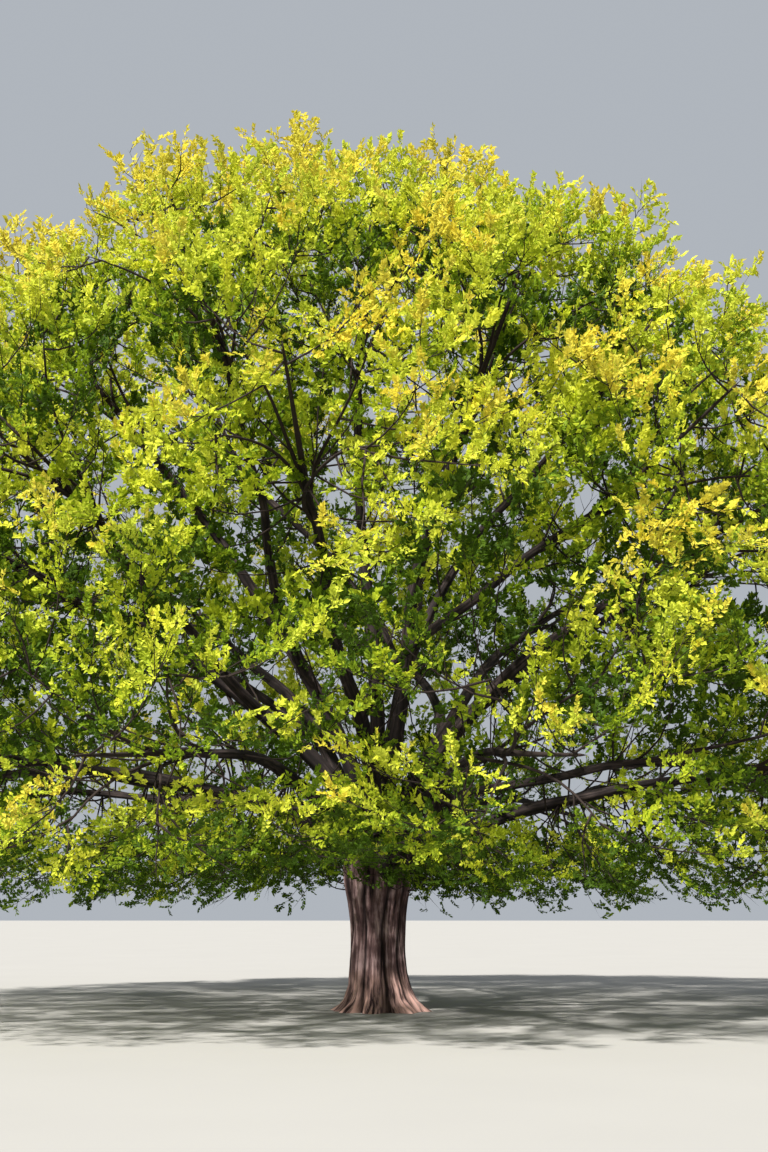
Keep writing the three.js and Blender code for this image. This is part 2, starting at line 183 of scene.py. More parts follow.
@dataclass
class Shape:
    """Points and triangles, with a place on the bark and the depth of its hollows where it has them, which
    the bark darkens as painted shade.
    """

    points: Array
    triangles: Array
    grain: Array | None = None
    hollow: Array | None = None

    @staticmethod
    def joined(shapes: list["Shape"]) -> "Shape":
        """Several shapes as one.

        Args:
            shapes: the shapes.

        Returns:
            One shape whose triangles count on through the points of each in turn.
        """
        starts = np.cumsum([0] + [len(shape.points) for shape in shapes[:-1]])
        barked = all(shape.grain is not None for shape in shapes)
        return Shape(
            np.concatenate([shape.points for shape in shapes]),
            np.concatenate([shape.triangles + start for shape, start in zip(shapes, starts)]),
            np.concatenate([shape.grain for shape in shapes]) if barked else None,
            np.concatenate([shape.hollow for shape in shapes]) if barked else None,
        )

    def mesh(self, name: str, smooth: bool) -> bpy.types.Object:
        """The shape as a Blender object at the origin.

        Args:
            name: the name of the object.
            smooth: whether the faces are shaded smoothly.

        Returns:
            The object, linked to the scene.
        """
        made = bpy.data.meshes.new(name)
        count = len(self.triangles)
        made.vertices.add(len(self.points))
        made.vertices.foreach_set("co", self.points.astype(np.float32).ravel())
        made.loops.add(3 * count)
        made.loops.foreach_set("vertex_index", self.triangles.astype(np.int32).ravel())
        made.polygons.add(count)
        made.polygons.foreach_set("loop_start", np.arange(0, 3 * count, 3, dtype=np.int32))
        made.polygons.foreach_set("use_smooth", np.full(count, smooth))
        if self.grain is not None:
            places = made.attributes.new("grain", "FLOAT_VECTOR", "POINT")
            places.data.foreach_set("vector", self.grain.astype(np.float32).ravel())
            depths = made.attributes.new("hollow", "FLOAT", "POINT")
            depths.data.foreach_set("value", self.hollow.astype(np.float32).ravel())
        made.update(calc_edges=True)
        piece = bpy.data.objects.new(name, made)
        bpy.context.scene.collection.objects.link(piece)
        return piece


def tube_faces(rings: int, sides: int) -> Array:
    """Triangles of a tube whose points run round each ring in turn, with one point more for its tip.

    Args:
        rings: the number of rings.
        sides: the number of points in a ring.

    Returns:
        Two triangles for each side between rings, a fan to the tip and a fan over the base.
    """
    ring, side = np.meshgrid(np.arange(rings - 1), np.arange(sides), indexing="ij")
    after = (side + 1) % sides
    near, near_after = ring * sides + side, ring * sides + after
    far, far_after = near + sides, near_after + sides
    wall = np.stack([near, near_after, far_after, near, far_after, far], -1).reshape(-1, 3)
    last, tip = (rings - 1) * sides, rings * sides
    around = np.arange(sides)
    cone = np.stack([last + around, last + (around + 1) % sides, np.full(sides, tip)], -1)
    base = np.stack([np.zeros(sides - 2, int), around[2:], around[1:-1]], -1)
    return np.concatenate([wall, cone, base])


def tubes(paths: Array, radii: Array, sides: int) -> Shape:
    """Round limbs along paths: each ring is the path's point plus the radius times two square directions.

    Args:
        paths: points of each limb, as limbs x points x 3. The last point is the tip, where the limb closes.
        radii: the radius at each point before the tip.
        sides: the number of points in a ring.

    Returns:
        All the limbs as one shape.
    """
    limbs, rings = radii.shape
    ways = unit(np.gradient(paths, axis=1))
    chords = paths[:, -1] - paths[:, 0]
    level = np.eye(3)[np.argmin(np.abs(chords), axis=1)][:, None]
    first = unit(np.cross(ways, level))
    second = np.cross(ways, first)
    angle = np.arange(sides) * 2 * np.pi / sides
    turn = np.cos(angle)[:, None] * first[:, :, None] + np.sin(angle)[:, None] * second[:, :, None]
    walls = paths[:, :rings, None] + radii[:, :, None, None] * turn[:, :rings]
    points = np.concatenate([walls.reshape(limbs, -1, 3), paths[:, -1:]], axis=1)
    each = rings * sides + 1
    triangles = tube_faces(rings, sides)[None] + each * np.arange(limbs)[:, None, None]
    return Shape(points.reshape(-1, 3), triangles.reshape(-1, 3))


class Path:
    """A curve kept as many close points, and read by the share of its length."""

    def __init__(self, points: Array) -> None:
        """Measures the curve. Args: points: the close points, in order."""
        self.points = points
        steps = np.linalg.norm(np.diff(points, axis=0), axis=1)
        self.lengths = np.concatenate([[0.0], np.cumsum(steps)])

    @property
    def length(self) -> float:
        """The whole length."""
        return float(self.lengths[-1])

    def at(self, shares: Array) -> Array:
        """The points at shares of the length, from 0 to 1."""
        places = np.asarray(shares, float) * self.length
        return np.stack([np.interp(places, self.lengths, axis) for axis in self.points.T], -1)

    def way(self, share: float) -> Array:
        """The direction of the curve at a share of its length."""
        low, high = self.at([max(share - 1e-3, 0), min(share + 1e-3, 1)])
        return unit(high - low)

    @staticmethod
    def through(corners: Array, steps: int = 40) -> "Path":
        """A smooth curve through corners: a centripetal Catmull-Rom spline.

        Between two corners it is the cubic whose slopes come from the corners on both sides, each weighed by
        the square root of its distance. Beyond either end the last step is repeated.

        Args:
            corners: the points to pass through.
            steps: close points for each stretch.

        Returns:
            The curve.
        """
        ends = np.stack([2 * corners[0] - corners[1], 2 * corners[-1] - corners[-2]])
        walk = np.concatenate([ends[:1], corners, ends[1:]])
        before, start, end, after = (walk[i : len(walk) - 3 + i, None] for i in range(4))
        gaps = [np.sqrt(np.linalg.norm(b - a, axis=-1, keepdims=True))
                for a, b in ((before, start), (start, end), (end, after))]
        rise = (start - before) / gaps[0] - (end - before) / (gaps[0] + gaps[1]) + (end - start) / gaps[1]
        fall = (end - start) / gaps[1] - (after - start) / (gaps[1] + gaps[2]) + (after - end) / gaps[2]
        rise, fall = rise * gaps[1], fall * gaps[1]
        share = (np.arange(steps) / steps)[None, :, None]
        square = -3 * start + 3 * end - 2 * rise - fall
        cube = 2 * start - 2 * end + rise + fall
        places = start + rise * share + square * share**2 + cube * share**3
        return Path(np.concatenate([places.reshape(-1, 3), corners[-1:]]))


@dataclass(frozen=True)
class Tier:
    """One level of the crown. Angles are in degrees, and sizes in metres."""

    name: str
    count: int
    turn: float  # azimuth of the first mass
    hub: float  # height angle of the masses from the crown's centre
    leave: tuple[float, float]  # heights at which boughs leave the trunk
    girth: float  # their radius there
    rise: float  # their slope there
    arrive: float  # and at the tip
    fork: float  # share of a bough's length at which the next one leaves it


class Level(Enum):
    """The tiers of the crown, from the skirt up."""

    SKIRT = Tier("skirt", 11, -74, -5, (2.15, 2.95), 0.150, 34, -6, 0.30)
    SHOULDER = Tier("shoulder", 10, -92, 27, (2.75, 3.30), 0.180, 58, 26, 0.34)
    UPPER = Tier("upper", 6, -60, 55, (3.20, 3.50), 0.175, 74, 52, 0.36)
    TOP = Tier("top", 1, 0, 88, (3.50, 3.50), 0.170, 88, 84, 0.0)


@dataclass
class Mass:
    """One mass of foliage: its place in its tier, its hub and the space that it keeps to."""

    key: int
    tier: Tier
    order: int
    azimuth: float
    axis: Array
    dome: float
    hub: Array
    normals: Array = field(default_factory=lambda: np.zeros((0, 3)))
    levels: Array = field(default_factory=lambda: np.zeros(0))

    def leaning(self, turn: float, lean: float) -> Array:
        """A direction that leans away from the mass's axis, turned round it from level, in degrees."""
        hinge = turned(square_to(self.axis, UP), self.axis, turn)
        return turned(self.axis, hinge, lean)


@dataclass
class Bough:
    """One bough: the mass that it carries, its curve, and its radius at the trunk and at the tip."""

    mass: Mass
    path: Path
    girth: float
    tip: float = 0.060
    taper: float = 1.1
    swell: float = 0.35
    swell_length: float = 2.5

    def radius(self, shares: Array) -> Array:
        """The radius along the bough: an even taper on top of a short collar that fades as an exponential."""
        shares = np.asarray(shares, float)
        collar = self.swell * np.exp(-shares * self.path.length / (self.swell_length * self.girth))
        return self.tip + (self.girth - self.tip) * (1 - shares) ** self.taper * (1 + collar)


@dataclass
class Crown:
    """The crown's layout: a ball cut off above the ground, in tiers of masses, each on its own bough."""

    height: float = 17.0
    radius: float = 12.0
    lean: float = -0.6
    swell: float = 0.035
    hem_height: float = 1.75
    hem_rise: float = 0.60
    hem_waves: int = 4
    hub_depth: float = 2.8
    stem_length: float = 0.9
    cell_margin: float = 0.06
    azimuth_jitter: float = 5.0
    steps: int = 6
    arch_start: float = 0.38
    arch_end: float = 0.34
    sway: float = 0.15
    sway_turns: float = 1.35
    sink: float = 0.55
    fork_girth: float = 0.78
    fork_along: float = 0.48
    far: float = 5.8  # no way through a mass's space is taken to be longer
    under_from: float = 1.6  # how near the trunk the underside starts
    under_margin: float = 0.8  # and how far from the dome it ends
    deep: float = 0.82  # the share of the radius under which places count as deep inside

    @property
    def centre(self) -> Array:
        """The centre of the ball."""
        return np.array([self.lean, 0.0, self.height - self.radius])

    def hem(self, azimuth: Array) -> Array:
        """The height of the lowest leaves at azimuths in degrees: a cosine wave round the crown."""
        wave = np.cos(np.radians(self.hem_waves * (azimuth + 90)))
        return self.hem_height + self.hem_rise * (0.5 + 0.5 * wave)

    def underside(self, count: int, over: float) -> Array:
        """Places spread evenly over the underside by the golden angle, from near the trunk to the edge.

        Args:
            count: the number of places.
            over: their height over the hem.

        Returns:
            The places.
        """
        number = np.arange(count) + 0.5
        turn = GOLDEN_ANGLE * number
        low = self.hem(turn) + over
        outer = np.sqrt(self.radius**2 - (self.centre[2] - low) ** 2) - self.under_margin
        reach = np.sqrt(self.under_from**2 + number / count * (outer**2 - self.under_from**2))
        azimuth = np.radians(turn)
        places = np.stack([reach * np.cos(azimuth), reach * np.sin(azimuth), low], axis=-1)
        places[:, :2] += self.centre[:2]
        return places

    def masses(self) -> list[Mass]:
        """Lays out the masses and the flat sides of their spaces.

        A side is the half-way plane to another mass, and one more is the level of the hem.

        Returns:
            The masses, from the skirt up.
        """
        made = []
        for level in Level:
            tier = level.value
            for order in range(tier.count):
                key = len(made)
                azimuth = tier.turn + 360 * order / tier.count + self.azimuth_jitter * swing(key, 1)
                axis = heading(azimuth, tier.hub)
                dome = self.radius * (1 + self.swell * swing(key, 2))
                hub = self.centre + axis * (dome - self.hub_depth)
                made.append(Mass(key, tier, order, azimuth, axis, dome, hub))
        hubs = np.array([mass.hub for mass in made])
        for mass in made:
            others = np.delete(hubs, mass.key, axis=0) - mass.hub
            normals = unit(others)
            levels = np.linalg.norm(others, axis=1) / 2 - self.cell_margin + normals @ mass.hub
            mass.normals = np.concatenate([normals, -UP[None]])
            mass.levels = np.append(levels, -self.hem(mass.azimuth))
        return made

    def depth_inside(self, points: Array, mass: Mass) -> Array:
        """How far points lie inside a mass's space, negative outside: the least over its sides and dome."""
        to_dome = mass.dome - np.linalg.norm(points - self.centre, axis=-1)
        return np.minimum(to_dome, np.min(mass.levels - points @ mass.normals.T, axis=-1))

    def reach(self, start: Array, way: Array, mass: Mass) -> float:
        """How far one can go from a point before the edge of a mass's space.

        Args:
            start: the point.
            way: the unit direction.
            mass: the mass.

        Returns:
            The nearest crossing of a side, or of the dome as the larger root of its square.
        """
        slopes = mass.normals @ way
        ahead = slopes > 1e-6
        crossings = (mass.levels - mass.normals @ start)[ahead] / slopes[ahead]
        centred = start - self.centre
        along = centred @ way
        to_dome = -along + np.sqrt(along**2 - centred @ centred + mass.dome**2)
        return max(0.0, min(self.far, crossings.min(initial=self.far), to_dome))

    def bough_tip(self, mass: Mass) -> tuple[Array, Array]:
        """The point at which a mass's bough ends and its stem begins, and the direction there."""
        way = heading(mass.azimuth, mass.tier.arrive)
        return mass.hub - way * self.stem_length, way

    def bough_path(self, mass: Mass, start: Array, first: Array) -> Path:
        """A bough's curve: a cubic arch with a sway that fades at both ends as a squared sine.

        Args:
            mass: the mass that it carries.
            start: where it starts.
            first: its first heading.

        Returns:
            The curve.
        """
        tip, way = self.bough_tip(mass)
        span = np.linalg.norm(tip - start)
        corners = [start, start + first * span * self.arch_start, tip - way * span * self.arch_end, tip]
        share = np.linspace(0, 1, self.steps + 1)[:, None]
        weights = [(1 - share) ** 3, 3 * share * (1 - share) ** 2, 3 * share**2 * (1 - share), share**3]
        arch = sum(weight * corner for weight, corner in zip(weights, corners))
        swayed = self.sway * np.sin(np.pi * share) ** 2
        wave = 2 * np.pi * (self.sway_turns * share + chance(mass.key, 4))
        sideways = unit(np.cross(UP, way))
        arch = arch + sideways * swayed * np.sin(wave) + UP * 0.6 * swayed * np.cos(wave)
        straight = tip - way * span / self.steps / 2
        return Path.through(np.insert(arch, self.steps, straight, axis=0))

    def boughs(self, masses: list[Mass], trunk: "Trunk") -> list[Bough]:
        """Every bough: from the trunk, or for every second one from the bough before it.

        Args:
            masses: the masses that they carry.
            trunk: the trunk.

        Returns:
            One bough for each mass.
        """
        made: list[Bough] = []
        for mass in masses:
            tier = mass.tier
            if mass.order % 2:
                before = made[-1]
                start = before.path.at(tier.fork)
                towards = unit(self.bough_tip(mass)[0] - start)
                along = before.path.way(tier.fork)
                first = unit(towards + (along - towards) * self.fork_along)
                girth = self.fork_girth * float(before.radius(tier.fork))
            else:
                height = between(*tier.leave, chance(mass.key, 5))
                out = self.sink * trunk.waist * np.cos(np.radians(tier.rise))
                start = trunk.centre(height) + heading(mass.azimuth, 0) * out
                first = heading(mass.azimuth, tier.rise)
                girth = tier.girth
            made.append(Bough(mass, self.bough_path(mass, start, first), girth))
        return made


@dataclass
class Trunk:
    """The trunk: a round column with a flared foot, a waist and a collar, fluted all the way up."""

    top: float = 3.9
    shoulder: float = 3.0
    waist: float = 0.505
    foot_flare: float = 0.330
    foot_height: float = 0.370
    collar_swell: float = 0.150
    collar_from: float = 1.5
    collar_to: float = 2.7
    lean: float = -0.045
    lean_height: float = 1.2
    flute_depth: float = 0.035
    buttress_depth: float = 0.12
    buttress_height: float = 0.30
    flutes: tuple[tuple[int, float, float], ...] = ((7, 0.55, 0.4), (4, 0.4, 1.9), (11, 0.25, 0.8))
    sides: int = 270
    levels: int = 140
    dome_levels: int = 26
    level_power: float = 1.35  # rings lie closer at the foot
    bark_swell: float = 0.020  # how far the bark stands out between its creases
    crease_depth: float = 0.062
    faded: Span = (2.2, 3.4)  # the relief of the creases fades to half between these heights
    foot_relief: float = 1.4  # what is added to it at the foot
    foot_relief_height: float = 0.22
    rib: float = 0.0045
    fine_rib: float = 0.0025
    bump: float = 0.012
    toe: float = 0.20  # how far the root toes stand out
    toe_height: float = 0.16
    knuckle: float = 0.036
    knuckle_height: float = 0.36
    burl: float = 0.022
    burl_height: float = 1.1

    def centre(self, height: float) -> Array:
        """The trunk's centre at a height."""
        return np.array([self.lean * float(smoothstep(height, 0, self.lean_height)), 0.0, height])

    def radius(self, height: Array, angle: Array) -> Array:
        """The column's radius, times one plus cosine waves round it for its flutes and buttresses.

        Args:
            height: heights.
            angle: angles round the trunk.

        Returns:
            The radius at each point.
        """
        column = (
            self.waist
            + self.foot_flare * np.exp(-height / self.foot_height)
            + self.collar_swell * smoothstep(height, self.collar_from, self.collar_to)
        )
        depth = self.flute_depth + self.buttress_depth * np.exp(-height / self.buttress_height)
        wave = sum(share * np.cos(waves * angle + turn) for waves, share, turn in self.flutes)
        return column * (1 + depth * wave)

    def creases(self, height: Array, angle: Array) -> Array:
        """How deep the creases between the flutes are, from 0 to 1.

        A crease runs wherever a sine round the trunk passes through zero. The valley of its size, raised to a
        power, is narrow there. The sine's phase wanders with the height, and two finer sets of creases come
        and go.

        Args:
            height: heights.
            angle: angles round the trunk.

        Returns:
            The depth at each point.
        """
        wander = 0.10 * np.sin(1.3 * height + 0.4) + 0.05 * np.sin(3.7 * height + 3 * angle)
        sharp = 1.0 + 1.3 * smoothstep(height, 0.0, 0.7)
        broad = valley(4.5 * (angle + wander) + 0.6 * np.sin(angle)) ** sharp
        split = valley(10 * (angle - 0.6 * wander) + 1.3 * np.sin(2 * angle + 0.8 * height))
        comes = half_wave(2.1 * height + 4 * angle)
        seam = valley(21 * (angle + 0.4 * wander) + 1.5 * np.sin(3 * angle - 1.1 * height))
        goes = half_wave(3.3 * height - 7 * angle + 1)
        return np.clip(broad + 0.55 * split**2.5 * comes + 0.40 * seam**2 * goes, 0, 1)

    def relief(self, height: Array, angle: Array) -> Array:
        """The bark's own relief, in metres: the creases, thin ribs whose phase wanders, and low bumps.

        Args:
            height: heights.
            angle: angles round the trunk.

        Returns:
            How far the bark stands out or in.
        """
        drift = 0.5 * np.sin(1.7 * height + 0.6) + 0.3 * np.sin(4.1 * height + 2 * np.sin(angle))
        swell = half_wave(7 * height + 3 * angle)
        ribs = np.cos(37 * angle + 2.6 * drift) * (0.4 + 0.6 * swell)
        fine = np.cos(83 * angle + 5 * drift + 1.5 * np.sin(9 * height)) * (1 - 0.6 * swell)
        bumps = np.sin(3 * angle + 2.6 * height + 0.7) * np.sin(5 * angle - 4.4 * height)
        fade = 1 - 0.5 * smoothstep(height, *self.faded)
        fade = fade + self.foot_relief * np.exp(-height / self.foot_relief_height)
        creased = fade * (self.bark_swell - self.crease_depth * self.creases(height, angle))
        return creased + self.rib * ribs + self.fine_rib * fine + self.bump * bumps

    def toes(self, height: Array, angle: Array) -> Array:
        """Root toes that run out between the creases, under knuckles and burls as products of sines.

        Args:
            height: heights.
            angle: angles round the trunk.

        Returns:
            How far they stand out. Each kind fades upwards as an exponential of a power of the height.
        """
        lobes = 1 - self.creases(0 * height, angle)
        uneven = 0.62 + 0.38 * np.cos(3 * angle + 0.5) * np.cos(2 * angle - 0.8)
        spread = self.toe * lobes**1.3 * uneven * np.exp(-((height / self.toe_height) ** 1.2))
        knuckles = np.sin(8 * angle + 2 * np.sin(3 * angle)) * np.sin(14 * height + 3 * np.sin(2 * angle) + 1)
        knuckles = self.knuckle * knuckles * np.exp(-((height / self.knuckle_height) ** 2))
        burls = np.sin(5 * angle + 1.1) * np.sin(5.5 * height + 2 * np.sin(3 * angle))
        burls = self.burl * burls * np.exp(-((height / self.burl_height) ** 2))
        return spread + knuckles + burls

    def shape(self) -> Shape:
        """The trunk's mesh, from its flat cut to its rounded top."""
        column = self.shoulder * np.linspace(0, 1, self.levels) ** self.level_power
        slopes = np.linspace(0, np.pi / 2, self.dome_levels + 1)[1:-1]
        height = np.concatenate([column, self.shoulder + (self.top - self.shoulder) * np.sin(slopes)])
        share = np.concatenate([np.ones_like(column), np.cos(slopes)])
        height, share = height[:, None], share[:, None]
        angle = np.arange(self.sides)[None] * 2 * np.pi / self.sides
        radius = self.radius(height, angle) * share
        radius = radius + self.relief(height, angle) * share + self.toes(height, angle)
        across = self.lean * smoothstep(height, 0, self.lean_height)
        east, north = np.cos(angle), np.sin(angle)
        wall = np.stack(np.broadcast_arrays(across + radius * east, radius * north, height), axis=-1)
        grain = np.stack(np.broadcast_arrays(self.waist * east, self.waist * north, height), axis=-1)
        return Shape(
            np.concatenate([wall.reshape(-1, 3), [[self.lean, 0.0, self.top]]]),
            tube_faces(len(height), self.sides),
            np.concatenate([grain.reshape(-1, 3), [[0.0, 0.0, self.top]]]),
            # the depth of the creases, which the bark darkens as painted shade
            np.append(self.creases(height, angle), 0.0),
        )


@dataclass
class BoughBark:
    """The boughs' meshes: round limbs with soft ribs, burrs and creases along them."""

    sides: int = 28
    spacing: float = 0.10
    stoutness: float = 1.02  # the radius against the rule's
    crease_depth: float = 0.10  # in radii
    tip_length: float = 0.02
    phases: float = 6.28  # the ribs of each bough start somewhere in this range
    grain_apart: float = 3.0  # how far apart neighbours lie on the bark

    def shape(self, bough: Bough) -> Shape:
        """One bough's mesh.

        Its radius is the rule's, times about one plus two slow waves that twist along it and a fine one, with
        small burrs as products of sines, less the creases.

        Args:
            bough: the bough.

        Returns:
            The mesh, with its place on the bark.
        """
        length, key = bough.path.length, bough.mass.key
        rings = int(length / self.spacing) + 2
        share = np.linspace(0, 1, rings)[:, None]
        angle = np.arange(self.sides)[None] * 2 * np.pi / self.sides
        along = share * length
        phase = self.phases * chance(key, 21)
        ribs = 0.05 * np.cos(3 * angle + 0.5 * along + phase)
        ribs = ribs + 0.03 * np.cos(5 * angle - 0.8 * along + 2 * phase)
        burrs = 0.035 * np.sin(2 * angle + 5.1 * along + phase) * np.sin(3.7 * along - phase)
        crease = valley(3.5 * angle + 0.7 * np.sin(1.1 * along + phase)) ** 2
        fine = 0.02 * np.cos(11 * angle + 1.2 * np.sin(3 * along))
        radius = bough.radius(share) * (self.stoutness + ribs + burrs + fine - self.crease_depth * crease)
        middle = bough.path.at(share[:, 0])
        ways = unit(np.gradient(middle, axis=0))
        level = unit(np.cross(UP, heading(bough.mass.azimuth, 0)))
        first = unit(level - ways * dot(ways, np.broadcast_to(level, ways.shape)))
        second = np.cross(ways, first)
        turn = np.cos(angle)[..., None] * first[:, None] + np.sin(angle)[..., None] * second[:, None]
        wall = middle[:, None] + radius[..., None] * turn
        tip = middle[-1] + ways[-1] * self.tip_length
        start = self.grain_apart * key
        around = bough.girth * np.cos(angle), bough.girth * np.sin(angle), along + start
        grain = np.stack(np.broadcast_arrays(*around), axis=-1)
        return Shape(
            np.concatenate([wall.reshape(-1, 3), tip[None]]),
            tube_faces(rings, self.sides),
            np.concatenate([grain.reshape(-1, 3), [[0.0, 0.0, length + start]]]),
            # the depth of the creases, which the bark darkens as painted shade
            np.append(crease, 0.0),
        )


@dataclass
class Twig:
    """A twig that carries sprays: its number, its turn round the axis, its curve and its plan of sprays."""

    number: int
    turn: float
    path: Path
    plan: tuple[tuple[float, float, float], ...]


@dataclass
class Spray:
    """A flat branch of leaves: where it starts, how it lies, how long it is and how yellow its leaves are."""

    root: Array
    way: Array
    facing: Array
    length: float
    tone: float
    bare: float = 0.08  # share of the length that has no side twigs
    girth: float = 0.017
    fullness: float = 1.0

    @property
    def across(self) -> Array:
        """The direction across the spray."""
        return np.cross(self.facing, self.way)


@dataclass
class SprayRule:
    """The rule that lays out the twigs and sprays of a mass, as in the source."""

    crown: Crown
    leading_twig: float = 0.7
    side_twig: float = 0.55
    side_twigs: int = 4
    side_lean: float = 56.0
    lean_jitter: float = 5.0
    turn_jitter: float = 10.0
    twig_step: float = 0.16
    whorl: tuple[tuple[float, float, float], ...] = (
        (0.72, 45, 80),
        (0.84, 135, 72),
        (0.77, 225, 80),
        (0.91, 315, 64),
    )
    fan: tuple[tuple[float, float, float], ...] = ((0.94, 42, 76), (0.85, -42, 76), (0.66, 4, 104))
    inner_sprays: float = 0.75
    jitter: float = 9.0
    roll: float = 25.0
    shortest: float = 0.8
    longest: float = 2.9
    varies: float = 0.15
    step: float = 0.88
    skyward: float = 0.6
    width: float = 0.68
    thickness: float = 0.09
    belly: float = 0.58
    limb_margin: float = 0.12
    clearance: float = 0.0003

    def twigs(self, mass: Mass) -> tuple[Array, list[Twig]]:
        """Lays out a mass's stem and twigs.

        Args:
            mass: the mass.

        Returns:
            The corners of the stem, and the leading twig with the side twigs after it.
        """
        crown = self.crown
        tip, way = crown.bough_tip(mass)
        top = mass.hub + mass.axis * self.leading_twig * crown.reach(mass.hub, mass.axis, mass)
        made = [Twig(0, 0.0, Path(np.array([mass.hub, top])), self.whorl)]
        for k in range(1, self.side_twigs + 1):
            start = mass.hub + way * (k - self.side_twigs - 0.25) * self.twig_step
            turn = 45 + 360 * k / self.side_twigs + self.turn_jitter * swing(mass.key, k, 9)
            aim = mass.leaning(turn, self.side_lean + self.lean_jitter * swing(mass.key, k, 8))
            end = mass.hub + aim * self.side_twig * crown.reach(mass.hub, aim, mass)
            plan = self.fan if chance(mass.key, k, 14) < self.inner_sprays else self.fan[:-1]
            made.append(Twig(k, turn, Path(np.array([start, end])), plan))
        return np.array([tip + way * self.clearance, mass.hub, top]), made

    def corners(self, spray: Spray) -> Array:
        """The six corners of a spray's pad: its ends, its belly's sides, and its belly's two faces."""
        half = spray.length / 2
        middle = spray.root + spray.way * half
        belly = middle + spray.way * (self.belly - 0.5) * spray.length
        side, face = spray.across * half * self.width, spray.facing * half * self.thickness
        end = middle + spray.way * half
        return np.array([spray.root, end, belly + side, belly - side, belly + face, belly - face])

    def rows(self, spray: Spray) -> Array:
        """Points spread over the leafy part of a spray, in rows across it."""
        share = np.array([0.3, 0.45, self.belly, 0.8, 1.0])
        taper = np.where(share < self.belly, share / self.belly, (1 - share) / (1 - self.belly))
        half = self.width * spray.length * taper / 2
        side = half[:, None] * np.array([-1, -0.5, 0, 0.5, 1])
        along = spray.root + spray.way * (share * spray.length)[:, None]
        return (along[:, None] + spray.across * side[..., None]).reshape(-1, 3)

    def fits(self, spray: Spray, mass: Mass, balls: tuple[Array, Array]) -> bool:
        """Whether a spray's pad lies in its mass's space and clear of the limbs.

        Args:
            spray: the spray.
            mass: its mass.
            balls: centres and radii of balls along the limbs.

        Returns:
            True if every corner is inside, and every row's point is outside every ball.
        """
        if self.crown.depth_inside(self.corners(spray), mass).min() < 0:
            return False
        centres, radii = balls
        gaps = np.linalg.norm(self.rows(spray)[:, None] - centres[None], axis=-1)
        return bool((gaps >= radii + self.limb_margin).all())

    def sprays(self, mass: Mass, twig: Twig, balls: tuple[Array, Array]) -> list[Spray]:
        """The sprays of a twig, each at the greatest length that fits.

        Args:
            mass: the mass.
            twig: the twig.
            balls: centres and radii of balls along the limbs.

        Returns:
            The sprays that have room.
        """
        made = []
        for i, (share, turn, lean) in enumerate(twig.plan):
            key = 10 * twig.number + i
            root = twig.path.at(share)
            way = mass.leaning(
                twig.turn + turn + self.jitter * swing(mass.key, key, 10),
                lean + self.jitter * swing(mass.key, key, 11),
            )
            outward = unit(root - self.crown.centre) + UP * self.skyward
            facing = turned(square_to(way, outward), way, self.roll * swing(mass.key, key, 12))
            longest = self.longest * (1 - self.varies * chance(mass.key, key, 13))
            length = min(longest, self.crown.reach(root, way, mass) - self.crown.cell_margin)
            while length > self.shortest:
                spray = Spray(root, way, facing, length, chance(mass.key, key, 15))
                if self.fits(spray, mass, balls):
                    made.append(spray)
                    break
                length *= self.step
        return made


@dataclass
class Branching:
    """Thinner branches along a limb, each of which is a spray, bare at its foot."""

    crown: Crown
    each: int
    first: float
    last: float
    length: tuple[float, float]
    bare: float
    girth: float
    fullness: float = 0.8
    # painted shade: how much less yellow the leaves of these inner branches are
    shade: float = 0.3
    lean: float = 44.0
    lift: float = 0.42
    lean_jitter: float = 12.0
    roll: float = 30.0
    shortest: float = 0.7
    dome_margin: float = 0.1
    floor: float = 2.3  # the lowest that a branch reaches

    def sprays(self, path: Path, key: float) -> list[Spray]:
        """The branches of one limb, in a spiral round it.

        Args:
            path: the limb's curve.
            key: a number of the limb's own.

        Returns:
            A spray for each branch that has room.
        """
        made = []
        for i in range(self.each):
            share = self.first + (self.last - self.first) * (i + 0.8 * chance(key, i, 31)) / self.each
            along = path.way(share)
            side = turned(square_to(along, UP), along, SPIRAL * i + 360 * chance(key, 32))
            lean = self.lean + self.lean_jitter * swing(key, i, 33)
            way = unit(turned(along, np.cross(along, side), lean) + UP * self.lift)
            root = path.at(share)
            outward = unit(root - self.crown.centre) * 0.4 + UP
            facing = turned(square_to(way, outward), way, self.roll * swing(key, i, 34))
            length = min(between(*self.length, chance(key, i, 35)), self.room(root, way))
            if length > self.shortest:
                # painted shade: the branch's tone is lowered for the inside of the crown
                tone = chance(key, i, 36) - self.shade
                made.append(Spray(root, way, facing, length, tone, self.bare, self.girth, self.fullness))
        return made

    def room(self, root: Array, way: Array) -> float:
        """The distance to the dome, less a margin, or to the floor of the crown.

        Args:
            root: where a branch starts.
            way: its unit direction.

        Returns:
            The lesser of the two. The dome's is the larger root of its square.
        """
        centred = root - self.crown.centre
        along = centred @ way
        radius = self.crown.radius - self.dome_margin
        dome = -along + np.sqrt(max(along**2 - centred @ centred + radius**2, 0))
        down = way[2] < -1e-3
        return min(dome, (root[2] - self.floor) / -way[2] if down else self.crown.far)


class Tint(Enum):
    """The leaves' tints, from the shaded inside to the sunlit tips, which lay painted shade and painted
    sunlight over the leaves' own greens and yellows: the record's slot and the colour.
    """

    DEEP = ("leaves_green", (0.064, 0.124, 0.007))
    GREEN = ("leaves_green", (0.218, 0.322, 0.015))
    LIME = ("leaves_green", (0.462, 0.548, 0.030))
    YELLOW = ("leaves_yellow", (0.655, 0.700, 0.062))
    GOLD = ("leaves_yellow", (0.700, 0.620, 0.066))

    @property
    def slot(self) -> str:
        """The record's slot."""
        return self.value[0]

    @property
    def colour(self) -> Colour:
        """Red, green and blue."""
        return self.value[1]


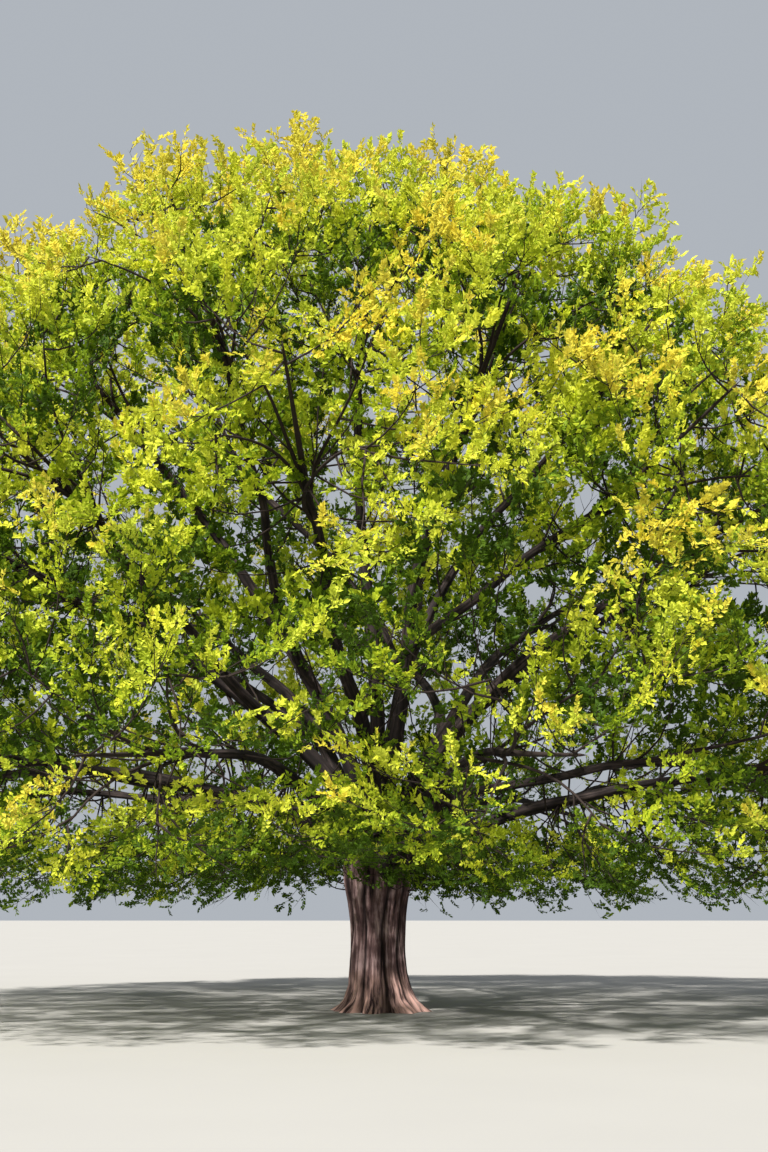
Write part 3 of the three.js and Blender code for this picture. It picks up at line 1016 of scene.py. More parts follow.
@dataclass
class Billows:
    """The rounded clumps that leaves gather in: balls in layers under the dome, and one round the collar."""

    crown: Crown
    seed: int = 11
    layers: tuple[tuple[float, float, float], ...] = (
        # depth under the dome, distance between centres, radius
        (1.35, 3.00, 1.68),
        (3.40, 3.10, 1.70),
        (5.30, 3.10, 1.70),
        (7.20, 3.00, 1.70),
        (9.20, 3.00, 1.70),
    )
    jitter: float = 0.28
    sizes: Span = (0.80, 1.20)  # of the balls in the layers, against their radius
    hem: tuple[float, float, float] = (0.60, 2.20, 1.30)  # height over the hem, then as for the layers
    hem_jitter: float = 0.35
    hem_sizes: Span = (0.85, 1.15)
    collar: tuple[float, float, float, float] = (0.0, 0.0, 2.9, 2.2)  # centre and radius
    edge: Span = (0.80, 1.10)  # leaves thin out between these shares of the radius
    belly: Span = (-0.75, 0.00)  # and below, between these heights in radii
    belly_lean: float = 0.6  # how far below turns in towards the trunk
    least: float = 0.50  # the share of leaves that stays underneath
    tone_spread: float = 0.13  # how far balls differ in tone
    flatness: float = 0.80  # the height of a low ball against its width
    flat_below: Span = (5.0, 10.0)  # flat up to the first height, and round from the second
    trim_from: float = 0.4  # a spray keeps at least this share of its length, or nothing
    trim_steps: int = 7

    def __post_init__(self) -> None:
        """Lays out the balls."""
        rng = np.random.default_rng(self.seed)
        centres, radii = [np.array([self.collar[:3]])], [np.array([self.collar[3]])]
        for depth, apart, radius in self.layers:
            reach = self.crown.radius - depth
            outward, turn = evenly_round(int(4 * np.pi * reach**2 / (HEXAGON * apart**2)))
            places = self.crown.centre + outward * reach + rng.normal(0, self.jitter, outward.shape)
            size = radius * rng.uniform(*self.sizes, len(places))
            above = places[:, 2] > self.crown.hem(turn) + radius
            centres.append(places[above])
            radii.append(size[above])
        over, apart, radius = self.hem
        low = self.crown.underside(int(np.pi * self.crown.radius**2 / (HEXAGON * apart**2)), over)
        low[:, 2] += np.abs(rng.normal(0, self.hem_jitter, len(low)))
        centres.append(low)
        radii.append(radius * rng.uniform(*self.hem_sizes, len(low)))
        self.centres = np.concatenate(centres)
        self.radii = np.concatenate(radii)
        self.tones = rng.normal(0, self.tone_spread, len(self.radii))
        self.spans = np.repeat(self.radii[:, None], 3, axis=1)
        self.spans[:, 2] *= between(self.flatness, 1, smoothstep(self.centres[:, 2], *self.flat_below))

    def nearest(self, places: Array) -> Array:
        """Each place's own ball: the one whose centre is nearest, counted in that ball's radii.

        Args:
            places: the places. Only balls that could be the nearest to one of them are tried.

        Returns:
            The balls' numbers.
        """
        if not len(places):
            return np.zeros(0, int)
        middle = places.mean(axis=0)
        spread = np.linalg.norm(places - middle, axis=1).max()
        gaps = np.linalg.norm(self.centres - middle, axis=1) - self.radii
        close = np.flatnonzero(gaps < max(gaps.min(), spread) + spread)
        steps = np.linalg.norm((places[:, None] - self.centres[close]) / self.spans[close], axis=2)
        return close[steps.argmin(axis=1)]

    def offsets(self, places: Array, balls: Array) -> Array:
        """From the centre of each place's ball to the place, in radii of that ball."""
        return (places - self.centres[balls]) / self.spans[balls]

    def far_out(self, places: Array) -> Array:
        """How far each place lies from its own ball's centre, in radii of that ball."""
        return np.linalg.norm(self.offsets(places, self.nearest(places)), axis=1)

    def trimmed(self, spray: Spray) -> float:
        """Trims a spray to the balls.

        Args:
            spray: the spray.

        Returns:
            Its length up to where it last lies in a ball, or nothing if it lies in none.
        """
        shares = np.linspace(self.trim_from, 1.0, self.trim_steps)
        places = spray.root + spray.way * (spray.length * shares)[:, None]
        within = self.far_out(places) < 0.5 * sum(self.edge)
        return float(spray.length * shares[within].max()) if within.any() else 0.0

    def share(self, offsets: Array, places: Array) -> Array:
        """The share of leaves that grows at each place.

        Args:
            offsets: from the ball's centre to each place, in radii.
            places: the places.

        Returns:
            Full in a ball, less on its underside, and nothing between balls.
        """
        outward = unit(places - self.crown.centre)
        level = dot(offsets, unit(UP + self.belly_lean * outward))[:, 0]
        within = 1 - smoothstep(np.linalg.norm(offsets, axis=1), *self.edge)
        return within * between(self.least, 1, smoothstep(level, *self.belly))


@dataclass
class Leafage:
    """Grows side twigs, shoots and leaves on sprays. Sizes are in metres, angles in degrees."""

    crown: Crown
    seed: int = 7
    sag: float = 0.11
    twig_gap: float = 0.165
    straight_twig: float = 0.6  # side twigs shorter than this have no bend
    fewest_twigs: int = 5
    twig_sizes: Span = (0.80, 1.15)
    twig_angle: float = 62.0
    twig_closing: float = 30.0  # how far the angle closes towards the tip
    angle_jitter: float = 12.0
    twig_rise: Span = (-4, 66)
    low_rise: float = 0.35  # the part of the rise that low sprays keep
    rise_between: Span = (4.0, 10.0)
    bend_jitter: float = 0.10
    shoot_gap: float = 0.075
    shoot_length: Span = (0.18, 0.34)
    shoot_jitter: float = 0.34
    normal_jitter: float = 0.22
    painted_outer_light: float = 0.50  # painted light and shade: how much yellower the outside of a ball is than its inside
    outer_from: float = 0.72  # beyond this share of its radius
    painted_sun_tone: float = 0.50  # painted sunlight: how much yellower its sunny side is
    tone_jitter: float = 0.05
    leaves: int = 11
    leaf_length: Span = (0.070, 0.102)
    inner_leaf: float = 1.4  # a leaf deep inside against one on the dome
    low_leaf: float = 0.88  # a leaf at the hem, against one half-way up
    high_leaf: float = 1.12  # and one near the top
    leaf_width: float = 0.74
    leaf_belly: float = 0.46  # where a leaf is widest, as a share of its length
    leaf_droop: float = 0.06  # how far its tip hangs, in lengths
    leaf_angle: float = 54.0
    leaf_angle_jitter: float = 10.0
    leaf_cup: Span = (-20, 60)
    rib_jitter: float = 0.22
    flat_jitter: float = 0.26
    fold: float = 24.0
    # the side that is tinted yellower as painted sunlight, on the crown and on each ball
    sunny_side: tuple[float, float, float] = (-0.38, -0.52, 0.68)
    crowding: float = 0.5  # the cells in which shoots are counted
    most_shoots: int = 6  # in one cell near the dome
    inner_shoots: int = 4  # and deep inside
    dome_slack: float = 0.05  # how far beyond the dome, the hem and the solids' box things may grow
    hem_slack: float = 0.30
    box_slack: float = 0.25
    hem_rag: float = 0.35
    tint_edges: tuple[float, ...] = (0.12, 0.34, 0.60, 0.97)

    def __post_init__(self) -> None:
        """Starts the seeded numbers, and lays out the balls."""
        self.rng = np.random.default_rng(self.seed)
        self.billows = Billows(self.crown)
        self.sunny = unit(np.array(self.sunny_side))

    def limbs(self, spray: Spray) -> tuple[Array, Array]:
        """A spray's own branch: it sags below the spray's level as half a sine, and sways.

        Args:
            spray: the spray.

        Returns:
            Its points and radii.
        """
        share = np.linspace(0, 1, 6)
        sway, phase = self.rng.uniform(0.015, 0.035), self.rng.uniform(0, 2 * np.pi)
        side = spray.length * sway * (np.sin(2 * np.pi * share * 1.2 + phase) - np.sin(phase))
        sag = -self.sag * spray.length * np.sin(np.pi * share**0.85)
        points = (
            spray.root
            + spray.way * (spray.length * share)[:, None]
            + spray.across * side[:, None]
            + spray.facing * sag[:, None]
        )
        return points, spray.girth * (1 - share) ** 0.9 + 0.003

    def side_twigs(self, spray: Spray, branch: Path) -> tuple[Array, Array]:
        """Side twigs that fan out and up from a spray's branch, so that their tips lie on a low dome.

        Args:
            spray: the spray.
            branch: its own branch.

        Returns:
            Points of each twig that stays in the crown, three to a twig, and each twig's length.
        """
        count = max(self.fewest_twigs, round((1 - spray.bare) * spray.length / self.twig_gap))
        number = np.arange(count) + self.rng.uniform(0.1, 0.9, count)
        share = spray.bare + (0.98 - spray.bare) * number / count
        along = (share - spray.bare) / (1 - spray.bare)
        leafy = spray.length * (1 - 0.6 * spray.bare)
        length = leafy * np.minimum(1.5 * along + 0.16, 0.48 * (1 - along) + 0.15)
        length = length * self.rng.uniform(*self.twig_sizes, count)
        side = np.where(np.arange(count) % 2, 1.0, -1.0)
        jitter = self.rng.uniform(-self.angle_jitter, self.angle_jitter, count)
        angle = np.radians(self.twig_angle - self.twig_closing * along + jitter)
        low, high = self.twig_rise
        high *= between(self.low_rise, 1, float(smoothstep(spray.root[2], *self.rise_between)))
        rise = np.radians(self.rng.uniform(low, high, count))
        flat = np.cos(angle)[:, None] * spray.way + (side * np.sin(angle))[:, None] * spray.across
        way = np.cos(rise)[:, None] * flat + np.sin(rise)[:, None] * spray.facing
        bend = 0.16 * spray.way + 0.12 * spray.facing + 0.08 * UP
        bend = bend + self.rng.normal(0, self.bend_jitter, (count, 3))
        steps = np.linspace(0, 1, 3)[None, :, None]
        start = branch.at(share)
        reach = length[:, None, None]
        points = start[:, None] + reach * (way[:, None] * steps + bend[:, None] * steps**2)
        ends = points[:, -1]
        within = self.inside(ends) & (self.billows.far_out(ends) < self.billows.edge[1])
        return points[within], length[within]

    def shoots(self, spray: Spray, twigs: Array, lengths: Array) -> dict[str, Array]:
        """Leafy shoots along side twigs, to left and right in turn, and all rather upright.

        Args:
            spray: the spray.
            twigs: three points of each side twig.
            lengths: the side twigs' lengths.

        Returns:
            Each shoot's start, direction, length, flat side and tone.
        """
        counts = np.maximum(2, np.round(lengths / self.shoot_gap * spray.fullness)).astype(int)
        owner = np.repeat(np.arange(len(twigs)), counts)
        number = np.arange(len(owner)) - np.repeat(np.cumsum(counts) - counts, counts)
        share = 0.10 + 0.90 * (number + self.rng.uniform(0.2, 1.0, len(owner))) / counts[owner]
        place = np.minimum(share, 0.999) * 2
        piece = place.astype(int)
        low, high = twigs[owner, piece], twigs[owner, piece + 1]
        start = low + (high - low) * (place - piece)[:, None]
        along = unit(high - low)
        side = np.where((number + owner) % 2, 1.0, -1.0)[:, None]
        across = unit(np.cross(np.broadcast_to(spray.facing, along.shape), along))
        way = 0.60 * along + 0.55 * side * across + 0.12 * UP + 0.25 * spray.facing
        way = unit(way + self.rng.normal(0, self.shoot_jitter, way.shape))
        outward = unit(start - self.crown.centre)
        balls = self.billows.nearest(start)
        around = self.billows.offsets(start, balls)
        puff = unit(around)
        normal = 0.20 * UP + 0.95 * puff + 0.15 * outward
        normal = normal + self.rng.normal(0, self.normal_jitter, way.shape)
        normal = unit(normal - way * dot(normal, way))
        length = self.rng.uniform(*self.shoot_length, len(owner))
        outer = np.linalg.norm(around, axis=1)
        # painted light and shade: each ball's outside and sunny side are tinted yellower, its inside and far
        # side greener
        tone = self.tone(spray, start) + self.painted_outer_light * (outer - self.outer_from)
        tone = tone + self.painted_sun_tone * (puff @ self.sunny)
        tone = tone + self.rng.normal(0, self.tone_jitter, len(owner)) + self.billows.tones[balls]
        stays = self.rng.random(len(owner)) < self.billows.share(around, start)
        shoots = {"start": start, "way": way, "length": length, "normal": normal, "tone": tone}
        return {key: value[stays] for key, value in shoots.items()}

    def tone(self, spray: Spray, places: Array) -> Array:
        """How yellow leaves are, from 0 to 1: more so high up and near the dome, partly as the leaves' own
        colour and partly as painted light, with painted shade lower down and further in; more so on the
        crown's sunny side, as painted sunlight; plus the spray's own share.

        Args:
            spray: the spray.
            places: places in the crown.

        Returns:
            The tone at each place.
        """
        centred = places - self.crown.centre
        outer = np.linalg.norm(centred, axis=1) / self.crown.radius
        height = np.clip((places[:, 2] - 2.0) / 11.0, 0, 1)
        shell = np.clip((outer - 0.78) / 0.19, 0, 1) * (0.80 + 0.20 * height)
        # painted light and shade: yellower near the dome, high up and on the sunny side, greener inside and
        # low down
        return 0.18 + 0.46 * shell + 0.08 * (unit(centred) @ self.sunny) + 0.12 * (spray.tone - 0.5)

    def thinned(self, places: Array) -> Array:
        """Which shoots stay where they crowd.

        Args:
            places: the places of the shoots.

        Returns:
            For each shoot, whether it is one of the first few in its cell of the crown.
        """
        cells = np.floor(places / self.crowding).astype(int)
        order = np.lexsort((self.rng.random(len(places)), *cells.T))
        ranked = cells[order]
        fresh = np.append(True, (np.diff(ranked, axis=0) != 0).any(axis=1))
        number = np.arange(len(places))
        rank = number - np.maximum.accumulate(np.where(fresh, number, 0))
        kept = np.zeros(len(places), bool)
        deep = np.linalg.norm(places[order] - self.crown.centre, axis=1) < self.crown.deep * self.crown.radius
        kept[order] = rank < np.where(deep, self.inner_shoots, self.most_shoots)
        return kept

    def leaf_shape(self, shoots: dict[str, Array]) -> tuple[Array, Array]:
        """Leaves to left and right of shoots in turn, turned up or down by varying amounts.

        A leaf has four points: its foot, its tip, and its two edges, which stand up from the rib by the fold.

        Args:
            shoots: starts, directions, lengths and flat sides of shoots.

        Returns:
            The points, as leaves x 4 x 3, and the shoot of each leaf.
        """
        shoot_count = len(shoots["start"])
        owner = np.repeat(np.arange(shoot_count), self.leaves)
        number = np.tile(np.arange(self.leaves), shoot_count)
        total = len(owner)
        way, normal = shoots["way"][owner], shoots["normal"][owner]
        share = ((number + 0.6) / self.leaves) ** 0.7
        foot = shoots["start"][owner] + way * (share * shoots["length"][owner])[:, None]
        across = np.cross(normal, way)
        side = np.where(number % 2, 1.0, -1.0)
        jitter = self.rng.normal(0, self.leaf_angle_jitter, total)
        angle = np.radians(self.leaf_angle * (1.2 - 0.55 * share) + jitter)
        cup = np.radians(self.rng.uniform(*self.leaf_cup, total))
        outward = (side * np.cos(cup))[:, None] * across + np.sin(cup)[:, None] * normal
        rib = np.cos(angle)[:, None] * way + np.sin(angle)[:, None] * outward
        rib = unit(rib + self.rng.normal(0, self.rib_jitter, (total, 3)))
        flat = normal + self.rng.normal(0, self.flat_jitter, (total, 3))
        flat = unit(flat - rib * dot(flat, rib))
        edge = np.cross(flat, rib)
        depth = np.linalg.norm(foot - self.crown.centre, axis=1) / self.crown.radius
        aside = smoothstep(np.linalg.norm(foot[:, :2], axis=1), 1.0, 4.0)
        raised = smoothstep(foot[:, 2], 2.0, 5.0)
        larger = 1 + (self.inner_leaf - 1) * np.clip((0.93 - depth) / 0.25, 0, 1) * aside * raised
        larger = larger * between(self.low_leaf, self.high_leaf, smoothstep(foot[:, 2], 3.0, 11.0))
        length = (larger * self.rng.uniform(*self.leaf_length, total))[:, None]
        width = length * self.leaf_width / 2
        fold = np.radians(self.fold)
        belly = foot + rib * length * self.leaf_belly + flat * width * np.sin(fold)
        spread = edge * width * np.cos(fold)
        tip = foot + rib * length - flat * length * self.leaf_droop
        return np.stack([foot, belly - spread, tip, belly + spread], axis=1), owner

    def inside(self, places: Array) -> Array:
        """Which places are within the crown.

        Args:
            places: the places.

        Returns:
            Whether each is under the dome, above the ragged hem and inside the solids' box, give or take the
            slacks. The hem is ragged by a product of two sines.
        """
        crown = self.crown
        centred = places - crown.centre
        azimuth = np.degrees(np.arctan2(centred[:, 1], centred[:, 0]))
        under = np.linalg.norm(centred, axis=1) < crown.radius * (1 + crown.swell) + self.dome_slack
        ragged = self.hem_rag * (np.sin(1.9 * places[:, 0] + 1.3) * np.sin(1.7 * places[:, 1] + 0.4) + 1)
        above = places[:, 2] > crown.hem(azimuth) - self.hem_slack + ragged
        low, high = (np.array(corner) for corner in cad_box)
        boxed = ((places > low - self.box_slack) & (places < high + self.box_slack)).all(axis=1)
        return under & above & boxed


@dataclass
class Stems:
    """What stands on one bough's tip: tubes, sprays, and places from which more sprays can start."""

    shapes: list[Shape]
    sprays: list[Spray]
    places: Array


@dataclass(frozen=True)
class FillLayer:
    """A layer under the dome whose open places are filled."""

    seed: int
    places: int  # over the whole ball
    depth: float
    gap: float  # how near a spray must be for a place to count as filled
    # how yellow its sprays are; lower in the deeper layers, as painted shade
    tones: Span
    top: float = 99.0  # the height up to which places are filled


@dataclass
class Growth:
    """What some tiers of the crown grow: their wood as tubes, and their leafy shoots."""

    wood: list[Shape] = field(default_factory=list)
    shoots: list[dict[str, Array]] = field(default_factory=list)


class Shading:
    """A new node material on a Principled shader, with short ways to add nodes and join them."""

    def __init__(self, name: str, roughness: float, specular: float) -> None:
        """Starts the material.

        Args:
            name: its name.
            roughness: the surface's roughness.
            specular: how much it reflects straight on.
        """
        self.material = bpy.data.materials.new(name)
        self.material.use_nodes = True
        self.tree = self.material.node_tree
        self.surface = self.tree.nodes["Principled BSDF"]
        self.feed(self.surface, {"Roughness": roughness, "Specular IOR Level": specular})

    def feed(self, node: bpy.types.Node, inputs: Inputs) -> None:
        """Sets a node's inputs.

        Args:
            node: the node.
            inputs: for each input's name or number, its value or the socket that feeds it.
        """
        for key, value in inputs.items():
            if isinstance(value, Socket):
                self.tree.links.new(value, node.inputs[key])
            else:
                node.inputs[key].default_value = value

    def add(self, kind: str, inputs: Inputs | None = None, **settings: str) -> bpy.types.NodeOutputs:
        """Adds a shader node.

        Args:
            kind: its type, without ShaderNode.
            inputs: its inputs, as for feed.
            settings: its own settings, which come before its inputs.

        Returns:
            Its outputs.
        """
        node = self.tree.nodes.new(f"ShaderNode{kind}")
        for key, value in settings.items():
            setattr(node, key, value)
        self.feed(node, inputs or {})
        return node.outputs

    def noise(self, vector: Socket, scale: float, **inputs: float) -> Socket:
        """A noise over a vector, with further inputs by name."""
        return self.add("TexNoise", {"Vector": vector, "Scale": scale, **inputs})["Fac"]

    def mapped(self, value: Socket, low: float, high: float, top: float = 1.0) -> Socket:
        """A value stretched from low and high to 0 and top, and held there beyond them."""
        inputs = {"Value": value, "From Min": low, "From Max": high, "To Max": top}
        return self.add("MapRange", inputs)["Result"]

    def mixed(self, share: Socket, first: Socket, second: tuple) -> Socket:
        """A colour with a share of a second, plain one."""
        return self.add("Mix", {"Factor": share, "A": first, "B": second}, data_type="RGBA")["Result"]

    def ramp(self, factor: Socket, *stops: tuple[float, Colour]) -> Socket:
        """Blends colours.

        Args:
            factor: what they go by.
            stops: the colours with their places, in order.

        Returns:
            The blended colour.
        """
        node = self.tree.nodes.new("ShaderNodeValToRGB")
        elements = node.color_ramp.elements
        for element, (place, colour) in zip(elements, (stops[0], stops[-1])):
            element.position, element.color = place, (*colour, 1)
        for place, colour in stops[1:-1]:
            elements.new(place).color = (*colour, 1)
        self.feed(node, {"Fac": factor})
        return node.outputs["Color"]


@dataclass(frozen=True)
class LeafFinish:
    """A leaf's finish: a soft sheen on a base colour, and light that comes through from behind."""

    tint: Tint
    roughness: float = 0.60
    specular: float = 0.16
    through: float = 0.44
    darker: Colour = (0.80, 0.86, 1.0)  # the base colour's share in the darkest places
    lighter: Colour = (1.14, 1.08, 1.0)  # and in the lightest
    patch_scale: float = 1.3

    def material(self) -> bpy.types.Material:
        """The finish as a material.

        Returns:
            A mix of a Principled shader and a Translucent one. A slow noise over the crown shades the base
            colour a little lighter and darker.
        """
        shading = Shading(f"leaf_{self.tint.name.lower()}", self.roughness, self.specular)
        place = shading.add("TexCoord")["Object"]
        noise = shading.noise(place, self.patch_scale, Detail=3.0)
        dark, light = (
            tuple(min(1, value * share) for value, share in zip(self.tint.colour, shares))
            for shares in (self.darker, self.lighter)
        )
        colour = shading.ramp(noise, (0.32, dark), (0.68, light))
        shading.feed(shading.surface, {"Base Color": colour})
        behind = shading.add("BsdfTranslucent", {"Color": colour})["BSDF"]
        surface = shading.surface.outputs["BSDF"]
        mixed = shading.add("MixShader", {"Fac": self.through, 1: surface, 2: behind})["Shader"]
        shading.feed(shading.tree.nodes["Material Output"], {"Surface": mixed})
        return shading.material


@dataclass(frozen=True)
class BarkFinish:
    """Bark: streaks along the grain over slow patches, with painted shade in its creases and an optional
    warmer foot, brightened as painted sunlight.
    """

    name: str
    dark: Colour
    middle: Colour
    light: Colour
    foot: Colour | None = None
    streak: float = 9.0
    stretch: float = 0.16
    bump: float = 0.55
    roughness: float = 0.88
    specular: float = 0.25
    patch_scale: float = 2.2
    patch_share: float = 0.40
    crease_shade_depths: Span = (0.12, 0.85)  # crease depths over which the painted shade in the hollows deepens
    # how far the painted shade in the deepest creases goes towards the darker colour
    crease_shade: float = 0.88
    crease_shade_dark: float = 0.35  # painted shade: the dark colour's share in the hollows
    # the foot: its own warmer colour, also brighter than the bark as painted dappled sunlight
    foot_height: float = 0.85
    foot_strength: float = 1.7
    foot_streaks: Span = (0.40, 0.60)

    def material(self) -> bpy.types.Material:
        """The finish as a material.

        Returns:
            A Principled material. The grain attribute, squeezed along the limb, feeds a fine noise for the
            streaks and the bump. A broad noise lays pale patches over it, and the hollow attribute darkens
            the creases as painted shade.
        """
        shading = Shading(self.name, self.roughness, self.specular)
        grain = shading.add("Attribute", attribute_name="grain")["Vector"]
        squeezed = shading.add("Mapping", {"Vector": grain, "Scale": (1, 1, self.stretch)})["Vector"]
        streaks = shading.noise(squeezed, self.streak, Detail=7.0, Roughness=0.62)
        patches = shading.noise(grain, self.patch_scale, Detail=3.0)
        both = shading.add("Mix", {"Factor": self.patch_share, "A": streaks, "B": patches}, data_type="FLOAT")
        colour = shading.ramp(both["Result"], (0.38, self.dark), (0.50, self.middle), (0.62, self.light))
        if self.foot:
            colour = self.warm_and_sunlit_foot(shading, colour, streaks)
        # painted shade: the creases darken with their depth
        depth = shading.add("Attribute", attribute_name="hollow")["Fac"]
        shade = shading.mapped(depth, *self.crease_shade_depths, self.crease_shade)
        shaded = shading.mixed(shade, colour, (*(self.crease_shade_dark * value for value in self.dark), 1))
        bump = shading.add("Bump", {"Strength": self.bump, "Distance": 0.02, "Height": streaks})["Normal"]
        shading.feed(shading.surface, {"Base Color": shaded, "Normal": bump})
        return shading.material

    def warm_and_sunlit_foot(self, shading: Shading, colour: Socket, streaks: Socket) -> Socket:
        """Mixes the foot's colour in towards the ground: its own warmer colour, made brighter as painted
        dappled sunlight.

        Args:
            shading: the material's shading.
            colour: the bark's colour so far.
            streaks: the noise along the grain, which breaks the edge.

        Returns:
            The mixed colour.
        """
        place = shading.add("TexCoord")["Object"]
        height = shading.add("SeparateXYZ", {"Vector": place})["Z"]
        fade = shading.mapped(height, self.foot_height, 0.0, self.foot_strength)
        chosen = shading.mapped(streaks, *self.foot_streaks)
        broken = shading.add("Math", {0: fade, 1: chosen}, operation="MULTIPLY")["Value"]
        return shading.mixed(broken, colour, (*self.foot, 1))


@dataclass(frozen=True)
class FloorFinish:
    """The studio floor: pale and matt, with the faintest mottle."""

    colour: Colour = (0.31, 0.305, 0.295)
    mottle: Span = (0.97, 1.03)

    def material(self) -> bpy.types.Material:
        """The finish as a material, with a noise that moves its colour by a few hundredths."""
        shading = Shading("studio_floor", 0.95, 0.1)
        place = shading.add("TexCoord")["Object"]
        noise = shading.noise(place, 0.35)
        low, high = (tuple(share * value for value in self.colour) for share in self.mottle)
        shading.feed(shading.surface, {"Base Color": shading.ramp(noise, (0.0, low), (1.0, high))})
        return shading.material


@dataclass
class Elm:
    """The whole tree: lays it out, grows it tier by tier and attaches each piece to its body."""

    crown: Crown = field(default_factory=Crown)
    trunk: Trunk = field(default_factory=Trunk)
    ball_spacing: float = 0.15  # between the balls that stand for the boughs
    low_openness: float = 0.15  # how much wider the gaps stay in the lower half
    level_below: float = 1.3  # how strongly the low sprays lie level
    level_between: Span = (4.0, 9.0)  # heights between which they cease to
    shortest_spray: float = 0.6
    first_fork: float = 0.15
    fork_step: float = 0.50
    stem_girth: tuple[float, float, int] = (0.057, 0.037, 8)  # radius, what it loses, and sides
    twig_girth: tuple[float, float, int] = (0.042, 0.028, 6)
    fine_twig: tuple[float, float] = (0.0050, 0.0060)  # radius, and what a metre of length adds
    shoot_girth: float = 0.004
    nearest_start: float = 0.7  # how near an open place a spray that fills it may start
    least_lean: float = 0.15  # how far outward it has to lead
    dearest: float = 7.0  # the most that a way may cost, which is its length over its lean
    overshoot: float = 0.45  # how far it reaches beyond the place
    leafy_length: float = 1.6
    sprig_count: int = 28
    lowest_sprig: float = 2.25
    sprig_rise: float = 1.00  # from the lowest to the highest
    sprig_start: float = 0.55  # from the trunk's middle
    # the deeper layers have lower tones, so that their leaves are darker as painted shade
    layers: tuple[FillLayer, ...] = (
        FillLayer(3, 1400, 0.80, 0.78, (-0.1, 0.9)),
        FillLayer(5, 1100, 2.30, 0.92, (-0.4, 0.4)),
        FillLayer(8, 500, 4.40, 1.15, (-0.4, 0.4), 8.0),
    )
    hem_layer: FillLayer = FillLayer(9, 320, 0.40, 1.00, (-0.2, 0.5))

    def __post_init__(self) -> None:
        """Lays out the masses, the boughs and the balls that stand for the boughs."""
        self.masses = self.crown.masses()
        self.boughs = self.crown.boughs(self.masses, self.trunk)
        self.rule = SprayRule(self.crown)
        # inner branches, whose leaves are tinted greener as painted shade of the crown
        self.inner = Branching(self.crown, 5, 0.26, 0.98, (1.5, 2.6), bare=0.32, girth=0.021, fullness=0.7)
        self.filling = Branching(
            self.crown, 1, 0.25, 0.70, (1.1, 1.9), bare=0.12, girth=0.014, fullness=0.9, shade=0.05
        )
        self.collar = Branching(
            self.crown, 4, 0.03, 0.18, (0.9, 1.5), bare=0.10, girth=0.014, shade=0.35, lean=70.0, lift=0.02
        )
        self.leafage = Leafage(self.crown)
        counts = [int(np.ceil(bough.path.length / self.ball_spacing)) + 1 for bough in self.boughs]
        shares = [np.linspace(0, 1, count) for count in counts]
        self.centres = np.concatenate([b.path.at(s) for b, s in zip(self.boughs, shares)])
        self.radii = np.concatenate([b.radius(s) for b, s in zip(self.boughs, shares)])
        self.growing = [self.stems(mass) for mass in self.masses]
        for layer in self.layers:
            self.fill(layer, self.under_dome(layer))
        low = self.crown.underside(self.hem_layer.places, self.hem_layer.depth)
        low[:, 2] += np.abs(np.random.default_rng(self.hem_layer.seed).normal(0, 0.40, len(low)))
        self.fill(self.hem_layer, low)

    def nodes(self, part: str, *names: str) -> list[str]:
        """The solids' names of a part, such as bough or foliage, in the named tiers."""
        return [
            f"{mass.tier.name}_{part}_{mass.order + 1}" for mass in self.masses if mass.tier.name in names
        ]

    def hand_over(
        self, piece: bpy.types.Object, finish: bpy.types.Material, stands_for: list[str]
    ) -> None:
        """Gives a piece its material and its body, and hides the solids that it stands for.

        Args:
            piece: the object.
            finish: the material.
            stands_for: the solids' names.
        """
        piece.data.materials.append(finish)
        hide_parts(*stands_for)
        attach(piece, BODY)
        log.info("%s: %d triangles", piece.name, len(piece.data.polygons))

    def dress_bark(self) -> None:
        """The trunk's and the boughs' meshes."""
        # the trunk's own dark brown bark, kept darker overall as painted shade under the crown; its foot has
        # its own warmer colour, made brighter as painted dappled sunlight
        trunk_finish = BarkFinish(
            "trunk_bark",
            dark=(0.020, 0.010, 0.011),
            middle=(0.112, 0.064, 0.063),
            light=(0.500, 0.350, 0.345),
            foot=(0.86, 0.53, 0.46),
            streak=15.0,
            stretch=0.09,
        ).material()
        # painted shade: the boughs' bark is far darker than the trunk's, for the crown's shade
        shaded_bough_finish = BarkFinish(
            "bough_bark", (0.008, 0.006, 0.006), (0.020, 0.014, 0.014), (0.062, 0.045, 0.043)
        ).material()
        self.hand_over(self.trunk.shape().mesh("trunk_bark", True), trunk_finish, ["trunk"])
        bark = BoughBark()
        for names in PIECE_TIERS:
            shapes = [bark.shape(bough) for bough in self.boughs if bough.mass.tier.name in names]
            piece = Shape.joined(shapes).mesh(f"{names[0]}_boughs", True)
            self.hand_over(piece, shaded_bough_finish, self.nodes("bough", *names))

